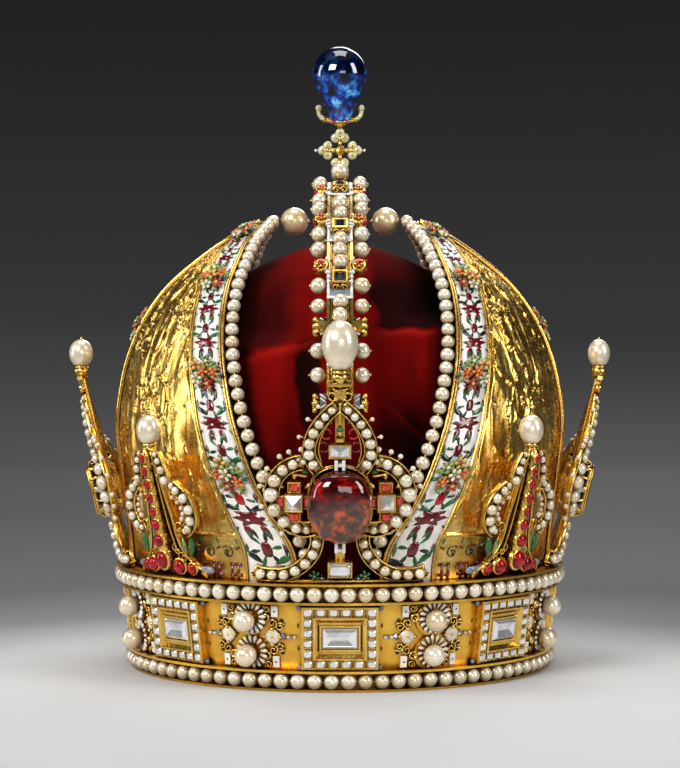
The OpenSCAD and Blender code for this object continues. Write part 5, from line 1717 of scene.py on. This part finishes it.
def flower_cluster(piece, y, wide, seed):
    """Raised enamelled flowers over leaves."""
    pick = np.random.default_rng(seed)
    colours = ["orange", "yellow", "leaf", "orange", "red", "cream"]
    def lay(shape, paint_name, x=0.0, up=0.0, lift=0.0, turn=0.0):
        points, faces = put(shape, x, up, lift, turn)
        piece.lay(paint_name, (points * [1 / wide, 1, 1] + [0, y, 0], faces))
    for i in range(11):
        leaf = pad(drop(pick.uniform(7.5, 10.5), 2.7, 8), 1.1, 2)
        lay(put(leaf, tip=8), "leaf" if i % 3 else "green", 0, 0, 0.9, i * 33 + pick.uniform(-12, 12))
    for i in range(6):
        a = math.radians(seed * 40 + i * 72)
        dx, dy = (0, 0) if i == 5 else (4.7 * math.cos(a), 5.6 * math.sin(a))
        rise = 1.2 if i == 5 else 0.0
        colour = colours[(seed + i) % 6]
        for j in range(5):
            petal = put(pad(drop(3.3, 2.3, 8), 0.8, 2), tip=24, turn=j * 72 + 20 * i)
            lay(petal, colour, dx, dy, 1.7 + rise)
        lay(ball(1.9, 5, 8), colours[(seed + i + 3) % 6], dx, dy, 2.7 + rise)


def strapwork():
    """Enamelled lattice and scrolls on the plain gold at the feet of the shells."""
    piece = Piece("mitre_foot_strapwork")
    for hand in (1, -1):
        for side in (-1, 1):
            piece.where = on_field(side, hand)
            for x in np.arange(3.5, 34, 9.5):
                for dx, w, low, high in (
                    (0, 1.1, 3, 12), (3, 1.1, 3, 12), (-1.5, 6, 6.2, 7.4), (-1.5, 6, 10.6, 11.8),
                ):
                    line = [(x + dx + w / 2, low, 0.1), (x + dx + w / 2, high, 0.1)]
                    piece.lay("maroon", bar(line, w, 0.35))
                for turn, up, r in ((40, 16.5, 3.0), (220, 18.5, 2.6)):
                    piece.lay("black", bar(curl(r, 1.3, turn), 0.5, 0.4), x + 1.5 + 0.08 * turn, up)
                for k, tone in enumerate(("green", "maroon", "leaf", "black")):
                    leaf = pad(drop(3.4, 1.7, 8), 0.4, 2)
                    piece.lay(tone, leaf, x + 2 * k - 1, 20 - 2.4 * (k % 2), 0.1, turn=60 * k)
    piece.finish("enamel")


# The repeats' length and half width at full size, and the height of the first one
UNIT_L = 15.0
UNIT_PITCH = 15.6
UNIT_HALF_W = 6.2
FIRST_UNIT = 8.0


def enamel_bands():
    """The shells' bands: repeats that shrink with the band, and a few raised flowers."""
    for hand, name in ((1, "right"), (-1, "left")):
        clusters = Piece(f"mitre_{name}_flowers")
        for side, end in ((-1, "front"), (0, "side"), (1, "back")):
            where, length = on_edge_band(side, hand) if side else on_side_band(hand)
            band = Piece(f"enamel_{end}_{name}_sheet")
            stand(where, band, clusters)
            band.lay("white", enamel_sheet(length))
            y, kind = FIRST_UNIT, int(side > 0)
            while y < length - 6:
                u = y / length
                wide = float(bed_at(u)) / 2 * min(1.0, 0.75 + 3 * (1 - u)) if side else SIDE_BED_W
                size = wide / UNIT_HALF_W
                if y + UNIT_L * size > length:
                    size = max((length - y) / UNIT_L, 0.35)
                enamel_unit(band, y, wide, kind, size)
                y += UNIT_PITCH * size
                kind += 1
            band.finish("enamel", f"enamel_{end}_{name}")
            for n, share in enumerate(CLUSTER_SHARES if side else SIDE_CLUSTER_SHARES):
                wide = float(bed_at(share)) / 2 if side else SIDE_BED_W
                flower_cluster(clusters, share * length, wide, n + 2 * (side > 0) + 3 * (side == 0))
        clusters.finish("enamel")


# Hoop
def hoop():
    """Pearls, stones and mounts on both halves of the hoop."""
    stones = Piece("hoop_stones")
    mounts = Piece("hoop_mounts")
    trim = Piece("hoop_enamel")
    pearls = Piece("hoop_round_pearls")
    edge = ARCH_W / 2
    for half in (1, -1):
        stand(on_arch(half), stones, mounts, trim, pearls)
        for angle in HOOP_PEARLS:
            d = ARCH_PEARL_D * chance.uniform(0.96, 1.02)
            place = [chance.uniform(-0.25, 0.25), arch_way(angle), FIT + ARCH_PEARL_D / 2]
            pearls.lay("pearl", pearl(d, 12, 18, 0.05), *place)
            pearls.lay("gold", ball(0.9, 4, 6), 0, arch_way(angle), FIT + ARCH_PEARL_D)
        points, faces = ball(LONG_PEARL_W, 12, 18)
        points = points * [1, LONG_PEARL_L / LONG_PEARL_W, 1]
        pearls.lay("pearl", (points, faces), 0, arch_way(LONG_PEARL_ANGLE), FIT + LONG_PEARL_W / 2)
        lift = TOP_SEAT + FIT + TOP_PEARL_D / 2
        pearls.lay("pearl", ball(TOP_PEARL_D, 14, 20), 0, arch_way(TOP_PEARL_ANGLE), lift)
        for hand in (-1, 1):
            aside = hand * (edge + FIT + SIDE_PEARL_D / 2)
            for angle in [TOP_PEARL_ANGLE + 1, *SIDE_PEARLS]:
                lift = 1.0 if angle < 10 else 0.0
                d = SIDE_PEARL_D * chance.uniform(0.94, 1.0)
                pearls.lay("pearl", pearl(d, 12, 18, 0.05), aside, arch_way(angle), lift)
                pearls.lay("gold", ball(1.2, 4, 6), aside + hand * SIDE_PEARL_D / 2, arch_way(angle), lift)
            for angle in SIDE_STONES:
                side_mount(mounts, stones, trim, hand, angle)
            for angle in LEAF_MOUNTS:
                leaf_mount(mounts, trim, hand, angle)
        for angle in HOOP_STONES:
            hoop_mount(mounts, stones, trim, angle)
        for angle in RED_PETALS:
            for hand in (-1, 1):
                petal = pad(drop(3.4, 2.6, 8), 0.9, 2)
                trim.lay("red", petal, hand * 4.2, arch_way(angle), 0.4, turn=hand * 60)
        for hand in (-1, 1):
            levels = np.linspace(arch_way(18), arch_way(76), 40)
            rail = np.column_stack([np.full(40, hand * (edge - 1.9)), levels, np.full(40, 0.25)])
            mounts.lay("gold", wire(rail, 0.7, 5))
    stones.finish("dark_stone")
    mounts.finish("gold")
    trim.finish("enamel")
    pearls.finish("pearl", "arch_pearls")


def hoop_mount(mounts, stones, trim, angle):
    """Square dark stone on a gold block between white-bordered enamel plates."""
    y = arch_way(angle)
    mounts.lay("gold", frame_bar(7.0, 7.0, 4.6, 4.6, 2.2, 4.0, 0.3), 0, y, even=False)
    stones.lay("dark_stone", point_cut(4.7, 4.7, 2.0), 0, y, 3.4, even=False)
    for hand in (-1, 1):
        scroll = handed(bar(curl(1.7, 1.2, 180), 0.6, 0.9, -0.3), hand)
        mounts.lay("gold", scroll, hand * 1.8, y + 4.1, 1.6, tip=-70)
        for i in range(3):
            petal = pad(drop(2.3, 1.4, 6), 0.5, 2)
            trim.lay("white", petal, hand * 3.5, y - 2.4 + 2.4 * i, 3.3, turn=-hand * 90)
    low = y + 3.0
    trim.lay("blue_grey", block(ARCH_W - 0.6, 12.0, -0.2, 0.95, 0.1), 0, low, even=False)
    for hand in (-1, 1):
        x = hand * (ARCH_W / 2 - 0.6)
        line = [(x, low - 6, 0.7), (x, low + 6, 0.7)]
        trim.lay("white", bar(line, 1.2, 0.7))
    line = [(-ARCH_W / 2, low + 6, 0.7), (ARCH_W / 2, low + 6, 0.7)]
    trim.lay("white", bar(line, 1.2, 0.7))


def leaf_mount(mounts, trim, hand, angle):
    """Gold leaves beside the hoop over a black plate with white chevrons."""
    y = arch_way(angle)
    x = hand * (ARCH_W / 2 + 1.5)
    trim.lay("black", block(3.0, 8.4, -0.9, 1.0, 0.2), x, y, even=False)
    for k in (-1, 1):
        for low, high in ((0.3, 2.2), (1.9, 3.8)):
            line = [(x - hand * 1.3, y + k * low, 1.0), (x + hand * 1.3, y + k * high, 1.0)]
            trim.lay("white", bar(line, 0.6, 0.3))
    mounts.lay("gold", pad(oval(3.6, 7.8, 12), 2.0, 3), x + hand * 2.9, y, -0.9)
    for k in (-1, 0, 1):
        leaf = put(pad(drop(3.6, 2.9, 8), 1.5, 3), y=-1.4, tip=14)
        mounts.lay("gold", leaf, x + hand * 2.8, y + 2.4 * k, 0.6, turn=-hand * (90 - 40 * k))
    mounts.lay("gold", ball(2.4, 6, 9), x + hand * 2.8, y, 1.6)


def side_mount(mounts, stones, trim, hand, angle):
    """Gold mount with a ruby beside the hoop."""
    y = arch_way(angle)
    x = hand * (ARCH_W / 2 + 2.6)
    cup = lathe([(0, -2), (3.0, -2), (3.2, 0), (3.4, 1.4), (2.4, 2.0), (2.2, 1.0), (0, 1.0)], 16)
    mounts.lay("gold", cup, x, y)
    for i in range(6):
        leaf = put(pad(drop(2.6, 1.5, 6), 0.7, 2), tip=35)
        mounts.lay("gold", leaf, x, y, 1.6, i * 60)
    stones.lay("ruby", ball(3.6, 7, 12, 0.8), x, y, 2.2)
    for k in (-1, 1):
        stones.lay("ruby", ball(2.6, 6, 10), x + hand * 2.4, y + k * 2.0, 0.6)
        trim.lay("white", pad(drop(2.6, 1.6, 6), 0.6, 2), x - hand * 2.4, y + k * 2.4, 1.2, 90 * k - 90)
    trim.lay("blue_grey", block(2.2, 6.5, -0.6, 1.1, 0.2), hand * (ARCH_W / 2 + 0.2), y, even=False)


# Cross and top stone
HOOK_END = 75


def stone_hook(hand, gold, enamel):
    """Hook beside the top stone, gold below and enamelled above, with its buds and leaf."""
    reach = 0.4 * BLUE_STONE_W
    a = np.radians(np.linspace(0, HOOK_END, 20))
    z = NECK_Z + reach
    wave = 1 - 0.09 * np.sin(2 * np.pi * a / a[-1])
    path = np.stack([hand * reach * wave * np.sin(a), 0 * a, z - reach * wave * np.cos(a)], -1)
    gold.lay("gold", wire(path[:12], 2.0, 8, up=(0, 1, 0)))
    enamel.lay("pale", wire(path[10:], 2.0, 8, up=(0, 1, 0)))
    enamel.lay("gold", ball(2.6, 7, 11), *path[11])
    for tone, bud, degrees, far in (
        ("pale", ball(3.1, 9, 13), HOOK_END, reach), ("white", ball(1.6, 6, 9), 48, reach + 1),
    ):
        a = math.radians(degrees)
        enamel.lay(tone, bud, hand * far * math.sin(a), 0, z - far * math.cos(a))
    leaf = put(pad(drop(3.6, 2.2, 8), 0.7, 2), tip=60)
    gold.lay("gold", leaf, hand * 2.6, -2.2, NECK_Z - 0.2, hand * 40)
    enamel.lay("red", ball(1.8, 5, 8), hand * 3.0, -2.6, NECK_Z + 1.0)


def cross():
    """Cross with a bud of three balls on each arm, on a turned stem that ends in the stone's cup."""
    boss_z = CROSS_Z + 0.56 * CROSS_H
    gold = Piece("cross_gold")
    low = ARCH_Z + ARCH_TOP_R + FIT
    foot = [
        (0, low), (2.4, low), (2.2, CROSS_Z + 0.6), (1.3, CROSS_Z + 2.6),
        (1.1, CROSS_Z + 5), (1.5, CROSS_Z + 6), (1.0, CROSS_Z + 7), (0, CROSS_Z + 7),
    ]
    stem = [
        (0, CROSS_Z + 4), (0.9, CROSS_Z + 4), (0.8, NECK_Z - 1), (1.4, NECK_Z - 1),
        (2.6, NECK_Z), (4.2, NECK_Z + 1.2), (3.6, NECK_Z + 1.4), (0, NECK_Z + 1.0),
    ]
    gold.lay("gold", lathe(foot, 16))
    gold.lay("gold", lathe(stem, 16))
    gold.lay("gold", ball(4.6, 9, 14), z=boss_z)
    gold.lay("gold", point_cut(2.4, 2.4, 1.2), y=-2.0, z=boss_z, tip=90, even=False)
    enamel = Piece("cross_enamel")
    for turn in (0, 90, 180, 270):
        def arm(p):
            c, s = math.cos(math.radians(turn)), math.sin(math.radians(turn))
            x, y, z = p.T
            return np.stack([c * x + s * z, y, c * z - s * x + boss_z], -1)
        enamel.where = arm
        bud = CROSS_ARM - 2.8
        points, faces = ball(4.3, 8, 12)
        for x, z in ((-2.1, bud - 0.1), (2.1, bud - 0.1), (0, bud + 2.3)):
            enamel.lay("pale", (points * [1, 0.62, 1], faces), x, 0, z)
            enamel.lay("gold", ball(1.2, 5, 8), x, -1.2, z)
        enamel.lay("gold", ball(2.9, 6, 10), 0, 0, bud - 0.3)
        rod = [(0, 0, 1.5), (0, 0, bud - 1)]
        enamel.lay("gold", wire(rod, 1.9, 8, up=(0, 1, 0)))
        if turn % 180:
            enamel.lay("white", ball(1.4, 5, 8), 0, 0, CROSS_ARM + 2.6)
            pin = [(0, 0, CROSS_ARM - 1), (0, 0, CROSS_ARM + 2.6)]
            enamel.lay("gold", wire(pin, 0.6, 5, up=(0, 1, 0)))
    enamel.where = None
    for hand in (-1, 1):
        stone_hook(hand, gold, enamel)
    gold.finish("gold", "cross")
    enamel.finish("enamel")


# The top stone's half width, as a share of its largest, at shares of its height
BLUE_LEVELS = np.array([
    [0, 0.3], [0.05, 0.38], [0.18, 0.56], [0.37, 0.75], [0.5, 0.89], [0.62, 1],
    [0.72, 0.96], [0.83, 0.84], [0.92, 0.64], [0.98, 0.36], [1, 0.2],
])


def blue_stone():
    """Polished, slightly uneven stone on the cross."""
    a = np.arange(48) * 2 * np.pi / 48
    outlines = []
    for share in 0.5 - 0.5 * np.cos(np.pi * np.linspace(0, 1, 36)):
        r = BLUE_STONE_W / 2 * np.interp(share, BLUE_LEVELS[:, 0], BLUE_LEVELS[:, 1])
        r = r * (1 + 0.012 * np.sin(3 * a + 6 * share) + 0.01 * np.sin(5 * a + 3))
        line = np.stack([r * np.cos(a), 0.9 * r * np.sin(a)], -1)
        outlines.append((line, NECK_Z + 1.4 + FIT + BLUE_STONE_H * share))
    piece = Piece("top_blue_stone")
    piece.lay("sapphire", tier(outlines))
    piece.finish("blue_stone", "blue_stone")


# Cap
def cap_point(u, az, inset):
    """Point of the cap at share u of its profile; az in degrees."""
    v = smooth(CAP, 0, u)
    r = (wall_r(CAP_FOOT) - BAND_WALL - 2 * FIT) * smooth(CAP, 1, u)
    dent = 0
    for start, drift, depth, half in FOLDS:
        off = (az - start - drift * v + 540) % 360 - 180
        dent = dent + depth * np.exp(-((off / half) ** 2)) * np.sin(np.pi * np.clip(v, 0, 1) ** 0.8)
    dent = dent * np.minimum(1, (1 - v) * 6)
    for middle, half, low, high, depth in HOLLOWS:
        off = (az - middle + 540) % 360 - 180
        s = (v - low) / high
        rise = soft_step(4 * s) * (1 - soft_step((4 * s - 1) / 3))
        dent = dent + depth * np.exp(-((off / half) ** 4)) * rise
    depth = np.maximum((r - dent - inset) / r, 0.1)
    a = np.radians(az)
    z = CAP_FOOT + CAP_H * v - inset * v ** 3
    return np.stack([r * depth * np.sin(a), -r * depth * np.cos(a), z], -1)


CAP_T = 2
CAP_ROWS = 90
CAP_SIDES = 216


def cap():
    """Hollow cap of two skins, joined along its lower edge."""
    rows, sides = CAP_ROWS, CAP_SIDES
    u = np.linspace(0, 1, rows)[:, None]
    az = np.arange(sides)[None, :] * 360 / sides
    skins = [cap_point(u + 0 * az, az + 0 * u, inset) for inset in (0, CAP_T)]
    points = np.vstack([skin.reshape(-1, 3) for skin in skins])
    count = rows * sides
    j = np.arange(sides)
    k = (j + 1) % sides
    edge = np.stack([j, count + j, count + k, k], -1)
    last = count - sides
    faces = [grid(rows, sides, True), grid(rows, sides, True)[:, ::-1] + count, edge]
    faces += [(last + j)[None, :], (count + last + j)[None, ::-1]]
    piece = Piece("velvet_cap_cloth")
    piece.lay("velvet", (points, faces))
    piece.finish("velvet", "velvet_cap")


# The nodes that keep their CAD shape
KEPT = {
    "circlet_band": "wall_gold",
    "lower_pearl_wire": "gold",
    "upper_pearl_wire": "gold",
    "arch_band": "gold",
}


def dress_kept():
    for name, paint_name in KEPT.items():
        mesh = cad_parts[name]
        for slot in mesh.material_slots:
            slot.material = PAINTS[paint_name]


# Stage, lights and camera
STAGE_R = 1.6
STAGE_BEND = 1.2
# Tones of the floor and backdrop, at shares of the way out from the crown: a painted fall-off of
# light, pale near the crown and darker further out and up the backdrop
FLOOR_TONES = [
    (0.0, (0.62, 0.62, 0.62)), (0.06, (0.53, 0.53, 0.532)),
    (0.09, (0.22, 0.22, 0.222)), (0.13, (0.115, 0.115, 0.116)),
    (0.30, (0.10, 0.10, 0.101)), (0.60, (0.14, 0.14, 0.141)),
    (0.78, (0.085, 0.085, 0.086)), (0.92, (0.03, 0.03, 0.03)),
]


def stage():
    """Floor, pale near the crown from a painted pool of light, that curves up into a dark backdrop, the same
    from every side.
    """
    outline = [(0, 0), (0.5, 0), (1.0, 0), (STAGE_R, 0)]
    outline += [
        (STAGE_R + STAGE_BEND * math.sin(a), STAGE_BEND - STAGE_BEND * math.cos(a))
        for a in np.radians(np.arange(10, 91, 10))
    ]
    outline += [(2.8, 2.2), (2.8, 3.6)]
    sides = 72
    a = np.arange(sides) * 2 * np.pi / sides
    rings = np.array(outline[1:])
    points = [(0, 0, 0)]
    points += [(r * math.cos(b), r * math.sin(b), z) for r, z in rings for b in a]
    j = np.arange(sides)
    faces = [(0, 1 + k, 1 + (k + 1) % sides) for k in j]
    for i in range(len(rings) - 1):
        low, high = 1 + i * sides, 1 + (i + 1) * sides
        faces += [(low + k, high + k, high + (k + 1) % sides, low + (k + 1) % sides) for k in j]
    mesh = bpy.data.meshes.new("backdrop")
    mesh.from_pydata(points, [], faces)
    for face in mesh.polygons:
        face.use_smooth = True
    paint = Paint("backdrop")
    shifted = paint.node("VectorMath", {0: paint.place(), 1: (0, 0.1, 0)}, "Vector", operation="ADD")
    far = paint.node("VectorMath", {0: shifted}, "Value", operation="LENGTH")
    tone = paint.ramp(paint.scaled(far, 0, 1, 0, 3.2), *FLOOR_TONES)
    mesh.materials.append(paint.done(tone, {"Roughness": 0.8, "Specular IOR Level": 0.2}))
    backdrop = bpy.data.objects.new("backdrop", mesh)
    bpy.context.scene.collection.objects.link(backdrop)


# Name, place in metres, width and height, and power in watts of each lamp
LAMPS = [
    ("key_light", (-1.0, -1.35, 1.15), (0.8, 0.62), 27),
    ("right_light", (1.25, -0.7, 0.75), (0.4, 1.1), 12),
    ("left_strip", (-1.3, -0.15, 0.5), (0.25, 1.1), 6),
    ("top_light", (0, 0.1, 1.6), (0.9, 0.9), 11),
    ("front_fill", (0.25, -1.6, 0.35), (0.7, 0.5), 4),
    ("back_light", (0.3, 1.5, 1.1), (1.0, 0.7), 10),
]
LAMP_TARGET = (0, 0, 0.13)
STUDIO_TONE = (0.55, 0.57, 0.6, 1)
STUDIO_STRENGTH = 0.16
# The camera, as it was worked out from the picture
CAMERA_PLACE = (0, -1.086, 0.1565)
CAMERA_DIP = 1.49
CAMERA_LENS = 109.97
SENSOR_WIDTH = 36


def area_light(name, place, size, power):
    """Softbox that faces the crown's middle."""
    data = bpy.data.lights.new(name, "AREA")
    data.shape = "RECTANGLE"
    data.size, data.size_y = size
    data.energy = power
    lamp = bpy.data.objects.new(name, data)
    bpy.context.scene.collection.objects.link(lamp)
    lamp.location = place
    aim = Vector(LAMP_TARGET) - Vector(place)
    lamp.rotation_euler = aim.to_track_quat("-Z", "Y").to_euler()


def lights():
    for lamp in LAMPS:
        area_light(*lamp)
    world = bpy.data.worlds.new("studio")
    world.use_nodes = True
    world.node_tree.nodes["Background"].inputs["Color"].default_value = STUDIO_TONE
    world.node_tree.nodes["Background"].inputs["Strength"].default_value = STUDIO_STRENGTH
    bpy.context.scene.world = world


def camera():
    data = bpy.data.cameras.new("camera")
    data.sensor_width = SENSOR_WIDTH
    data.lens = CAMERA_LENS
    view = bpy.data.objects.new("camera", data)
    bpy.context.scene.collection.objects.link(view)
    view.location = CAMERA_PLACE
    view.rotation_euler = (math.radians(90 - CAMERA_DIP), 0, 0)
    bpy.context.scene.camera = view


stage()
lights()
camera()
scene = bpy.context.scene
scene.view_settings.view_transform = "Standard"

dress_kept()
rim_row("lower_rim_pearls", "lower_pearls", ROW_H / 2)
rim_row("upper_rim_pearls", "upper_pearls", BAND_H - ROW_H / 2)
rosettes()
plaques()
lilies()
tip_pearls()
large_stones()
mitres()
enamel_bands()
strapwork()
pearl_strings()
hoop()
cross()
blue_stone()
cap()
